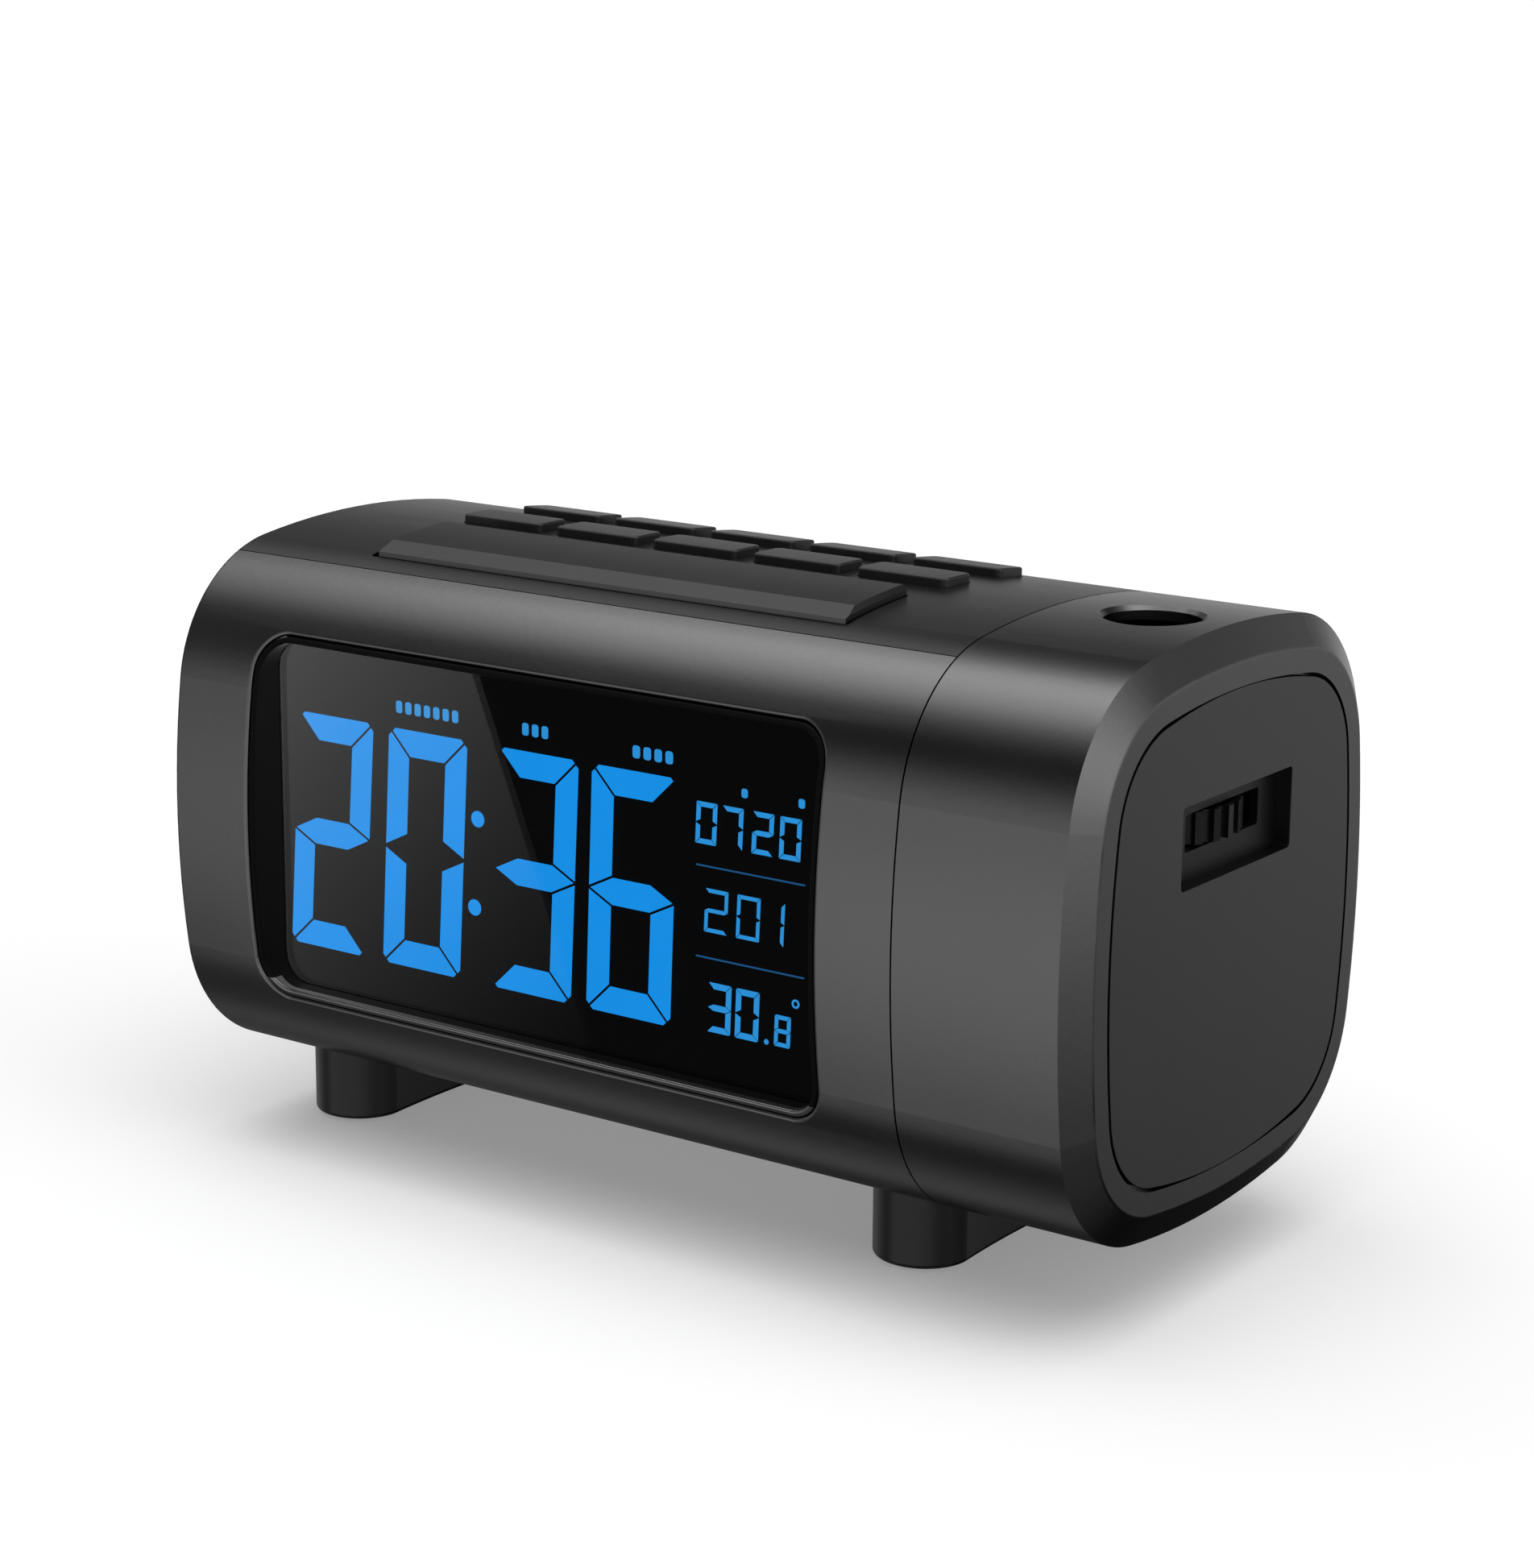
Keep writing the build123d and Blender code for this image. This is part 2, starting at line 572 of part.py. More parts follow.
with BuildPart() as rear_shell:
    for x, z in POSTS:
        rod(behind(SEAM / 2, x, z), POST_R, HALF)
    for x, z in SPEAKER_SCREWS:
        rod(behind(SPEAKER_Y, SPEAKER_X + x, AXIS_Z + z), BOSS_R, HALF)
    for x, y in IO_POSTS:
        rod(level(IO_BOARD_Z, x, y), POST_R, -HALF)
    for x, y in FOOT_SCREWS:
        rod(level(FOOT_BOSS_TOP, x, y), POST_R, -HALF)
    trim_to_section(WALL / 2, BODY_LEFT, BODY_RIGHT)
    add_casing_wall(LOW_FRONT, (FAR, -FAR), (FAR, HALF), TOP_REAR)
    for x, z in POSTS:
        rod(behind(POST_SCREW, x, z), SCREW_HEAD_R + FIT, HALF, mode=Mode.SUBTRACT)
        rod(behind(0, x, z), SCREW_R + FIT, HALF, mode=Mode.SUBTRACT)
    for x, z in SPEAKER_SCREWS:
        rod(behind(SPEAKER_Y, SPEAKER_X + x, AXIS_Z + z), SCREW_R, SPEAKER_SCREW - CLAMP, mode=Mode.SUBTRACT)
    for x, y in IO_POSTS:
        rod(level(IO_BOARD_Z, x, y), SCREW_R, -IO_SCREW, mode=Mode.SUBTRACT)
    for x, y in FOOT_SCREWS:
        rod(level(0, x, y), SCREW_R, FOOT_BOSS_TOP - SCREW_GAP, mode=Mode.SUBTRACT)
    with BuildSketch(behind(HALF - 3 * WALL, SPEAKER_X)):
        for row in range(-4, 5):
            with Locations((0, row * GRILLE_PITCH)):
                SlotOverall(2 * sqrt(GRILLE_R ** 2 - (row * GRILLE_PITCH) ** 2), GRILLE_SLOT)
    extrude(amount=4 * WALL, mode=Mode.SUBTRACT)
    rod(behind(HALF - 3 * WALL, JACK_X, JACK_Z), JACK_NOSE_R + FIT, 4 * WALL, mode=Mode.SUBTRACT)
    with BuildSketch(behind(HALF - 3 * WALL, USB_X, USB_Z)):
        Rectangle(USB[0] + 2 * FIT, USB[2] + 2 * FIT)
    extrude(amount=4 * WALL, mode=Mode.SUBTRACT)
    with BuildSketch(level(0, BODY_MIDDLE)):
        Rectangle(BAY_LENGTH, BAY_WIDTH)
    extrude(amount=AXIS_Z - HALF + 3 * WALL, mode=Mode.SUBTRACT)

with BuildPart() as top_cover:
    for x, y in KEY_BOARD_BOSSES:
        rod(level(KEY_BOARD_TOP, x, y), BOSS_R, HALF)
    trim_to_section(WALL / 2, BODY_LEFT, BODY_RIGHT)
    add_casing_wall(TOP_REAR, TOP_FRONT)
    with BuildSketch(level(AXIS_Z + HALF - 4 * WALL)):
        for y in KEY_ROWS.values():
            with Locations(*[(x, y) for x in KEY_X]):
                RectangleRounded(KEY_WIDTH + 2 * KEY_GAP, KEY_DEPTH + 2 * KEY_GAP, KEY_CORNER + KEY_GAP)
        slot_left, slot_right = BAR_LEFT - BAR_LEFT_GAP, BAR_RIGHT + BAR_GAP
        with Locations(((slot_left + slot_right) / 2, BAR_SWITCH_Y)):
            RectangleRounded(slot_right - slot_left, BAR_DEPTH + 2 * BAR_GAP, BAR_CORNER)
    extrude(amount=FAR, mode=Mode.SUBTRACT)
    for x, y in KEY_BOARD_BOSSES:
        rod(level(KEY_BOARD_Z, x, y), SCREW_R, KEY_SCREW, mode=Mode.SUBTRACT)

with BuildPart() as left_end_cap:
    with BuildSketch(across(CAP_X)):
        BodySection()
    with BuildSketch(across(LEFT)):
        BodySection(BEVEL_WIDTH)
    loft(ruled=True)
    fillet(left_end_cap.faces().sort_by(Axis.X)[0].edges(), BEVEL_SOFT)
    with BuildSketch(across(LEFT)):
        BodySection(RING_WIDTH)
        PanelSection(mode=Mode.SUBTRACT)
    extrude(amount=GROOVE_DEPTH, mode=Mode.SUBTRACT)
    with BuildSketch(across(CAP_X)):
        BodySection(WALL + FIT)
        BodySection(WALL + FIT + SPIGOT_WALL, mode=Mode.SUBTRACT)
    extrude(amount=SPIGOT_LENGTH)

# ----------------------------------------------------------------- display


def window_plate(y, inset, thickness, mode=Mode.ADD):
    """Rounded plate of the display opening's shape, with its front at y, running rearwards."""
    with BuildSketch(facing(y, WINDOW_X, WINDOW_Z)) as plate:
        RectangleRounded(WINDOW_WIDTH - 2 * inset, WINDOW_HEIGHT - 2 * inset, max(WINDOW_R - inset, 1.0))
    extrude(plate.sketch, amount=-thickness, mode=mode)


with BuildPart() as display_bezel:
    window_plate(-HALF, FIT, HALF + BEZEL_BACK)
    trim_to_section(BEZEL_SUNK, LEFT, RIGHT)
    with BuildPart():
        window_plate(BEZEL_BACK, -FLANGE_REACH, FLANGE)
        trim_to_section(WALL + FIT, BODY_LEFT, BODY_RIGHT)
    window_plate(-FAR, BEZEL_WALL, FAR, mode=Mode.SUBTRACT)
    window_plate(WINDOW_Y, BEZEL_WALL - WINDOW_LAP - FIT, HALF, mode=Mode.SUBTRACT)
    fillet(window_rim(display_bezel, BEZEL_SUNK), BEZEL_SOFT)

with BuildPart() as display_window:
    window_plate(WINDOW_Y, BEZEL_WALL - WINDOW_LAP, WINDOW_THICKNESS)

with BuildPart() as lcd_glass:
    window_plate(BEZEL_BACK + FIT, GLASS_INSET, GLASS)

CAVITY_INSET = GLASS_INSET - 2 * FIT
LIGHT_GUIDE_Y = BEZEL_BACK + 2 * FIT + GLASS
CAVITY_HALF_X = WINDOW_WIDTH / 2 - GLASS_INSET
CAVITY_HALF_Z = WINDOW_HEIGHT / 2 - GLASS_INSET

with BuildPart() as lcd_frame:
    window_plate(LCD_FRAME_Y, -FLANGE_REACH, LCD_FRAME_DEPTH)
    trim_to_section(WALL + FIT, BODY_LEFT, BODY_RIGHT)
    for x, z in DISPLAY_EARS:
        inner = WINDOW_X + (WINDOW_WIDTH / 2) * (1 if x > WINDOW_X else -1)
        low, high = sorted((x, inner))
        block((low, LCD_BACK_Y - LCD_FRAME_BACK, z - BOSS_R), (high, LCD_BACK_Y, z + BOSS_R))
        rod(facing(LCD_BACK_Y, x, z), BOSS_R, LCD_FRAME_BACK)
    window_plate(LCD_FRAME_Y, CAVITY_INSET, LCD_FRAME_DEPTH - LCD_FRAME_BACK, mode=Mode.SUBTRACT)
    for x, z in DISPLAY_EARS:
        rod(facing(LCD_BACK_Y, x, z), SCREW_R + FIT, LCD_FRAME_BACK, mode=Mode.SUBTRACT)
    for side in (-1, 1):
        z = WINDOW_Z + side * (CAVITY_HALF_Z - ZEBRA_EDGE)
        with BuildSketch(facing(LCD_BACK_Y, WINDOW_X, z)):
            Rectangle(WINDOW_WIDTH - 2 * ZEBRA_END, ZEBRA + 2 * FIT)
        extrude(amount=LCD_FRAME_BACK, mode=Mode.SUBTRACT)

with BuildPart() as zebra_strips:
    for side in (-1, 1):
        z = WINDOW_Z + side * (CAVITY_HALF_Z - ZEBRA_EDGE)
        with BuildSketch(facing(MAIN_BOARD_Y, WINDOW_X, z)):
            Rectangle(WINDOW_WIDTH - 2 * ZEBRA_END - 2 * FIT, ZEBRA)
        extrude(amount=MAIN_BOARD_Y - LIGHT_GUIDE_Y)

GUIDE_LOW_Z = WINDOW_Z - CAVITY_HALF_Z + GUIDE_EDGE
GUIDE_HIGH_Z = WINDOW_Z + CAVITY_HALF_Z - GUIDE_EDGE
STRIP_X = WINDOW_X + CAVITY_HALF_X - LED_STRIP / 2
GUIDE_BACK = LIGHT_GUIDE_Y + GUIDE

with BuildPart() as light_guide:
    block((WINDOW_X - CAVITY_HALF_X, LIGHT_GUIDE_Y, GUIDE_LOW_Z),
          (STRIP_X - LED_STRIP / 2 - FIT, GUIDE_BACK, GUIDE_HIGH_Z))

with BuildPart() as led_strip:
    block((STRIP_X, LIGHT_GUIDE_Y, GUIDE_LOW_Z), (STRIP_X + LED_STRIP / 2, GUIDE_BACK, GUIDE_HIGH_Z))
    for step in range(-2, 3):
        z = WINDOW_Z + LED_PITCH * step
        block((STRIP_X - LED_STRIP / 2, LIGHT_GUIDE_Y + LED_EDGE, z - LED / 2),
              (STRIP_X, GUIDE_BACK - LED_EDGE, z + LED / 2))

BOARD_BACK = MAIN_BOARD_Y + BOARD
CONNECTOR_Z = KEY_BOARD_Z - CONNECTOR_DROP
CONNECTOR_WIDTH = RIBBON_WIDTH + 2.0

with BuildPart() as main_board:
    block((WINDOW_X - WINDOW_WIDTH / 2 - BOARD_SIDE, MAIN_BOARD_Y, WINDOW_Z - WINDOW_HEIGHT / 2),
          (WINDOW_X + WINDOW_WIDTH / 2 + BOARD_SIDE, BOARD_BACK, WINDOW_Z + CAVITY_HALF_Z - FIT))
    block((EAR_X[0] - BOSS_R, MAIN_BOARD_Y, WINDOW_Z - EAR_DROP - BOSS_R),
          (EAR_X[1] + BOSS_R, BOARD_BACK, WINDOW_Z + EAR_DROP + BOSS_R))
    for x, z in DISPLAY_EARS:
        rod(facing(BOARD_BACK, x, z), SCREW_R + FIT, BOARD, mode=Mode.SUBTRACT)
    for x, z, width, height, depth in CHIPS:
        block((WINDOW_X + x - width / 2, BOARD_BACK, AXIS_Z + z - height / 2),
              (WINDOW_X + x + width / 2, BOARD_BACK + depth, AXIS_Z + z + height / 2))
    block((RIBBON_X - CONNECTOR_WIDTH / 2, BOARD_BACK, CONNECTOR_Z - CONNECTOR / 2),
          (RIBBON_X + CONNECTOR_WIDTH / 2, BOARD_BACK + CONNECTOR, CONNECTOR_Z + CONNECTOR / 2))
    for x, z in CAPACITORS:
        rod(behind(BOARD_BACK, WINDOW_X + x, AXIS_Z + z), *CAPACITOR)

# ----------------------------------------------------------- keys and bar

SWITCHES = [(x, y) for y in KEY_ROWS.values() for x in KEY_X]
SWITCHES += [(BAR_MIDDLE + side * BAR_POST, BAR_SWITCH_Y) for side in (-1, 1)]

with BuildPart() as key_board:
    block((KEY_BOARD_X[0], BAR_FRONT - KEY_BOARD_FRONT, KEY_BOARD_Z),
          (KEY_BOARD_X[1], REAR_ROW_Y + KEY_DEPTH / 2 + KEY_BOARD_REAR, KEY_BOARD_TOP))
    for x, y in KEY_BOARD_BOSSES:
        rod(level(KEY_BOARD_Z, x, y), SCREW_R + FIT, BOARD, mode=Mode.SUBTRACT)
    block((RIBBON_X - CONNECTOR_WIDTH / 2, RIBBON_REAR_Y - CONNECTOR / 2, KEY_BOARD_Z - CONNECTOR),
          (RIBBON_X + CONNECTOR_WIDTH / 2, RIBBON_REAR_Y + CONNECTOR / 2, KEY_BOARD_Z))

with BuildPart() as key_switches:
    for x, y in SWITCHES:
        with BuildSketch(level(KEY_BOARD_TOP, x, y)):
            Rectangle(SWITCH, SWITCH)
        extrude(amount=SWITCH_HEIGHT)
        rod(level(SWITCH_TOP, x, y), SWITCH_BORE_R, -SWITCH_BORE, mode=Mode.SUBTRACT)


def add_stem(x, y, travel, top):
    """Stem with a switch tip, hung under a key or the bar."""
    shoulder = SWITCH_TOP + travel + STEM_STEP
    rod(level(SWITCH_TOP - TIP_IN, x, y), TIP_R, shoulder - SWITCH_TOP + TIP_IN)
    rod(level(shoulder, x, y), STEM_R, top - shoulder)


def push_key(x, y):
    """One key cap with its flange under the cover and its stem."""
    front, rear = y - KEY_DEPTH / 2, y + KEY_DEPTH / 2
    under = WALL + FLANGE_DROP
    with BuildPart() as key:
        with BuildSketch(across(x - KEY_WIDTH / 2)):
            CrownBand(front, rear, -KEY_PROUD, under + FLANGE_HEIGHT)
        extrude(amount=KEY_WIDTH)
        fillet(key.edges().filter_by(Axis.Z), KEY_CORNER)
        fillet(key.faces().sort_by(Axis.Z)[-1].edges(), KEY_SOFT)
        with BuildSketch(across(x - KEY_WIDTH / 2 - KEY_FLANGE)):
            CrownBand(front - KEY_FLANGE, rear + KEY_FLANGE, under, under + FLANGE_HEIGHT)
        extrude(amount=KEY_WIDTH + 2 * KEY_FLANGE)
        add_stem(x, y, KEY_TRAVEL, AXIS_Z + rise(y, under + FLANGE_HEIGHT / 2))
    return key


keys = {f"key_{row}_{i + 1}": push_key(x, y) for row, y in KEY_ROWS.items() for i, x in enumerate(KEY_X)}

with BuildPart() as snooze_bar:
    under = WALL + FLANGE_DROP
    with BuildSketch(across(BAR_LEFT)):
        with BuildLine():
            bend = BAR_FRONT + BAR_CHAMFER
            crest = [(y, rise(y, -BAR_PROUD)) for y in (bend, (bend + BAR_REAR) / 2, BAR_REAR)]
            floor = [(y, rise(y, under + FLANGE_HEIGHT)) for y in (BAR_REAR, BAR_SWITCH_Y, BAR_FRONT)]
            edge = (BAR_FRONT, rise(BAR_FRONT) + BAR_LIP)
            Polyline(floor[2], edge, crest[0])
            ThreePointArc(*crest)
            Line(crest[2], floor[0])
            ThreePointArc(*floor)
        make_face()
    extrude(amount=BAR_RIGHT - BAR_LEFT)
    end_edges = snooze_bar.faces().sort_by(Axis.X)[-1].edges().filter_by(Axis.Z, reverse=True)
    chamfer(end_edges.sort_by(Axis.Z)[-1], BAR_CORNER)
    with BuildSketch(across(BAR_LEFT - KEY_FLANGE)):
        CrownBand(BAR_FRONT - KEY_FLANGE, BAR_REAR + KEY_FLANGE, under, under + FLANGE_HEIGHT)
    extrude(amount=BAR_RIGHT - BAR_LEFT + 2 * KEY_FLANGE)
    with BuildSketch(across(BAR_LEFT + BAR_WALL)):
        CrownBand(BAR_FRONT + 2 * BAR_WALL, BAR_REAR - BAR_WALL, BAR_WALL, 3 * WALL)
    extrude(amount=BAR_RIGHT - BAR_LEFT - 2 * BAR_WALL, mode=Mode.SUBTRACT)
    for side in (-1, 1):
        top = AXIS_Z + rise(BAR_SWITCH_Y, BAR_WALL / 2)
        add_stem(BAR_MIDDLE + side * BAR_POST, BAR_SWITCH_Y, BAR_TRAVEL, top)

with BuildPart() as ribbon_cable:
    low_y = BOARD_BACK + CONNECTOR / 2
    low_z = CONNECTOR_Z + (CONNECTOR + RIBBON) / 2 - AXIS_Z
    bend_z = KEY_BOARD_Z - RIBBON_BEND - AXIS_Z
    high_z = KEY_BOARD_Z - CONNECTOR - RIBBON / 2 - AXIS_Z
    with BuildSketch(across(RIBBON_X - RIBBON_WIDTH / 2)):
        with BuildLine():
            path = FilletPolyline((low_y, low_z), (low_y, bend_z), (RIBBON_REAR_Y, bend_z),
                                  (RIBBON_REAR_Y, high_z), radius=RIBBON_BEND_R)
            offset(path, amount=RIBBON / 2, side=Side.BOTH)
        make_face()
    extrude(amount=RIBBON_WIDTH)

# -------------------------------------------------------------- rear pieces

with BuildPart() as speaker:
    rod(behind(SPEAKER_Y, SPEAKER_X), SPEAKER_R, SPEAKER_FLANGE)
    with BuildSketch(behind(SPEAKER_Y, SPEAKER_X)):
        Circle(SPEAKER_R - SPEAKER_RIM)
    extrude(amount=-BASKET_DEPTH, taper=BASKET_TAPER)
    rod(behind(SPEAKER_Y - BASKET_DEPTH, SPEAKER_X), MAGNET[0], -MAGNET[1])
    with BuildSketch(behind(SPEAKER_Y + SPEAKER_FLANGE, SPEAKER_X)):
        Circle(SPEAKER_R - SPEAKER_RIM - BASKET_WALL)
    extrude(amount=-BASKET_BORE, taper=BORE_TAPER, mode=Mode.SUBTRACT)

CONE_R = SPEAKER_R - SPEAKER_RIM - CONE_GAP

with BuildPart() as speaker_cone:
    for radius, depth, mode in ((CONE_R, CONE_DEPTH, Mode.ADD),
                                (CONE_R - CONE_WALL, CONE_DEPTH - CONE_FLOOR, Mode.SUBTRACT)):
        with BuildSketch(behind(SPEAKER_Y + SPEAKER_FLANGE - CONE_SUNK, SPEAKER_X)):
            Circle(radius)
        extrude(amount=-depth, taper=CONE_TAPER, mode=mode)

with BuildPart() as speaker_clamp:
    screw_places = [(-x, z) for x, z in SPEAKER_SCREWS]
    with BuildSketch(behind(SPEAKER_Y, SPEAKER_X)):
        Circle(SPEAKER_R + CLAMP_RIM)
        with Locations(*screw_places):
            Circle(BOSS_R + CLAMP_EAR)
        Circle(SPEAKER_R - SPEAKER_RIM + FIT, mode=Mode.SUBTRACT)
        with Locations(*screw_places):
            Circle(SCREW_R + FIT, mode=Mode.SUBTRACT)
    extrude(amount=-CLAMP)

IO_X = (USB_X - IO_BOARD_ENDS[0], JACK_X + IO_BOARD_ENDS[1])

with BuildPart() as io_board:
    block((IO_X[0], IO_FRONT, IO_BOARD_Z), (IO_X[1], IO_REAR, IO_TOP))
    for x, y in IO_POSTS:
        rod(level(IO_BOARD_Z, x, y), SCREW_R + FIT, BOARD, mode=Mode.SUBTRACT)

JACK_FACE = rise(JACK_Z - AXIS_Z - JACK_NOSE_R) - SOCKET_SUNK

with BuildPart() as dc_inlet:
    block((JACK_X - JACK[0] / 2, IO_REAR - JACK[1], IO_TOP),
          (JACK_X + JACK[0] / 2, IO_REAR, IO_TOP + JACK[2]))
    rod(behind(IO_REAR, JACK_X, JACK_Z), JACK_NOSE_R, JACK_FACE - IO_REAR)
    rod(behind(JACK_FACE, JACK_X, JACK_Z), JACK_BORE_R, -JACK_BORE, mode=Mode.SUBTRACT)
    rod(behind(JACK_FACE - JACK_PIN_SUNK, JACK_X, JACK_Z), JACK_PIN_R, -JACK_BORE)

USB_FACE = rise(USB_Z - AXIS_Z - USB[2] / 2) - SOCKET_SUNK

with BuildPart() as usb_port:
    block((USB_X - USB[0] / 2, USB_FACE - USB[1], IO_TOP), (USB_X + USB[0] / 2, USB_FACE, IO_TOP + USB[2]))
    with BuildSketch(behind(USB_FACE, USB_X, USB_Z)):
        Rectangle(*USB_MOUTH)
    extrude(amount=-USB_BORE, mode=Mode.SUBTRACT)
    block((USB_X - USB_TONGUE[0] / 2, USB_FACE - USB_BORE - USB_TONGUE_SUNK, USB_Z + USB_TONGUE_UP),
          (USB_X + USB_TONGUE[0] / 2, USB_FACE - USB_TONGUE_SUNK, USB_Z + USB_TONGUE_UP + USB_TONGUE[1]))

BAY_INNER_HALF = BAY_WIDTH / 2 - BAY_RIM
BAY_OUTER_HALF = BAY_WIDTH / 2 + BAY_WALL

with BuildPart() as battery_box:
    block((BODY_MIDDLE - BAY_LENGTH / 2 - BAY_WALL, -BAY_OUTER_HALF, BAY_LOW - WALL),
          (BODY_MIDDLE + BAY_LENGTH / 2 + BAY_WALL, BAY_OUTER_HALF, BAY_LOW + BAY_DEPTH + BAY_WALL))
    with BuildSketch(across(LEFT)):
        BodySection(WALL)
    extrude(amount=LENGTH, mode=Mode.INTERSECT)
    block((BODY_MIDDLE - BAY_LENGTH / 2, -BAY_INNER_HALF, BAY_LOW - WALL),
          (BODY_MIDDLE + BAY_LENGTH / 2, BAY_INNER_HALF, BAY_LOW + BAY_DEPTH), mode=Mode.SUBTRACT)

CELL_Z = BAY_LOW + CELL_UP

with BuildPart() as battery_contacts:
    for end in (-1, 1):
        face_x = BODY_MIDDLE + end * BAY_LENGTH / 2
        for side in (-1, 1):
            y = side * BAY_INNER_HALF / 2
            x = face_x - end * CONTACT
            block((min(x, face_x), y - CONTACT_SIDE / 2, CELL_Z - CONTACT_SIDE / 2),
                  (max(x, face_x), y + CONTACT_SIDE / 2, CELL_Z + CONTACT_SIDE / 2))
            for radius, step in SPRING_TURNS if end * side > 0 else STUD:
                rod(Plane(origin=(x, y, CELL_Z), z_dir=(-end, 0, 0)), radius, step)
                x -= end * step

HINGE_INSET = DOOR_THICKNESS / 2
DOOR_HALF = BAY_WIDTH / 2 - DOOR_GAP
HINGE_Y = DOOR_HALF - HINGE_INSET
HINGE_Z = -rise(HINGE_Y, HINGE_INSET)

with BuildPart() as battery_door:
    with BuildSketch(across(BODY_MIDDLE - BAY_LENGTH / 2 + DOOR_GAP)):
        CrownBand(-DOOR_HALF, HINGE_Y, 0, DOOR_THICKNESS, below=True)
        with Locations((HINGE_Y, HINGE_Z)):
            Circle(HINGE_INSET)
    extrude(amount=BAY_LENGTH - 2 * DOOR_GAP)
    tab_y = TAB_IN - DOOR_HALF
    tab_top = AXIS_Z - rise(DOOR_HALF, DOOR_THICKNESS) + TAB[2]
    block((BODY_MIDDLE - TAB[0] / 2, tab_y, AXIS_Z - rise(DOOR_HALF, DOOR_THICKNESS / 2)),
          (BODY_MIDDLE + TAB[0] / 2, tab_y + TAB[1], tab_top))

# --------------------------------------------------------------------- feet


def foot(x):
    """One bar foot, cut to the body's underside, with pockets for its two pads and screws."""
    with BuildPart() as piece:
        with BuildSketch(level(PAD_PROUD, x)):
            FootPlan()
        extrude(amount=FOOT_HEIGHT + HALF / 10)
        fillet(piece.faces().sort_by(Axis.Z)[0].edges(), FOOT_SOFT)
        with BuildSketch(across(LEFT)):
            BodySection()
        extrude(amount=LENGTH, mode=Mode.SUBTRACT)
        for y in (-FOOT_SCREW_Y, FOOT_SCREW_Y):
            rod(level(0, x, y), PAD_R + FIT, PAD_THICKNESS, mode=Mode.SUBTRACT)
            rod(level(0, x, y), SCREW_HEAD_R + FIT, FOOT_HEIGHT / 2, mode=Mode.SUBTRACT)
            rod(level(0, x, y), SCREW_R + FIT, HALF, mode=Mode.SUBTRACT)
    return piece


foot_left = foot(FOOT_X["left"])
foot_right = foot(FOOT_X["right"])

with BuildPart() as foot_pads:
    for x, y in FOOT_SCREWS:
        rod(level(0, x, y), PAD_R, PAD_THICKNESS)

with BuildPart() as foot_screws:
    for x, y in FOOT_SCREWS:
        screw(level(FOOT_HEIGHT / 2, x, y), FOOT_BOSS_TOP - 2 * SCREW_GAP - FOOT_HEIGHT / 2)

with BuildPart() as shell_screws:
    for x, z in POSTS:
        screw(facing(POST_SCREW, x, z), 2 * POST_SCREW - SCREW_GAP)

with BuildPart() as board_screws:
    for x, z in DISPLAY_EARS:
        screw(facing(BOARD_BACK, x, z), DISPLAY_SCREW)
    for x, y in KEY_BOARD_BOSSES:
        screw(level(KEY_BOARD_Z, x, y), KEY_SCREW)
    for x, y in IO_POSTS:
        screw(Plane(origin=(x, y, IO_TOP), z_dir=(0, 0, -1)), IO_SCREW)
    for x, z in SPEAKER_SCREWS:
        screw(behind(SPEAKER_Y - CLAMP, SPEAKER_X + x, AXIS_Z + z), SPEAKER_SCREW)

# --------------------------------------------------------- bearing and hub

with BuildPart() as bearing_bulkhead:
    with BuildSketch(across(BODY_RIGHT - BULKHEAD)):
        BodySection(WALL + FIT)
    extrude(amount=BULKHEAD)
    rod(across(BEARING_X), HUB_R + HUB_PLAY + BEARING_WALL, BEARING_LENGTH)
    rod(across(BEARING_X), HUB_R + HUB_PLAY, BEARING_LENGTH, mode=Mode.SUBTRACT)

FRICTION_R = HUB_R + RETAINER_RIM + FRICTION_GAP
FRICTION_END = sum(FRICTION_ARC) - FRICTION_TAB

with BuildPart() as friction_spring:
    foot_reach = BODY_RIGHT - BULKHEAD - HUB_END
    for start, sweep_angle, reach in ((*FRICTION_ARC, RETAINER), (FRICTION_ARC[0], FRICTION_TAB, foot_reach),
                                      (FRICTION_END, FRICTION_TAB, foot_reach)):
        with BuildSketch(across(HUB_END)) as strip:
            with BuildLine():
                inner = CenterArc((0, 0), FRICTION_R, start, sweep_angle)
                outer = CenterArc((0, 0), FRICTION_R + FRICTION_STRIP, start, sweep_angle)
                Line(inner @ 0, outer @ 0)
                Line(inner @ 1, outer @ 1)
            make_face()
        extrude(strip.sketch, amount=reach)

# --------------------------------------------------------- projector head

FRAME_BOSSES = [(y, z) for y in (-EAR_Y, EAR_Y) for z in EAR_Z]
FRAME_EAR_X = LENS_X - ENGINE / 2 + EAR_INSET
STANDOFF = FRAME_EAR_X - PLATE_X

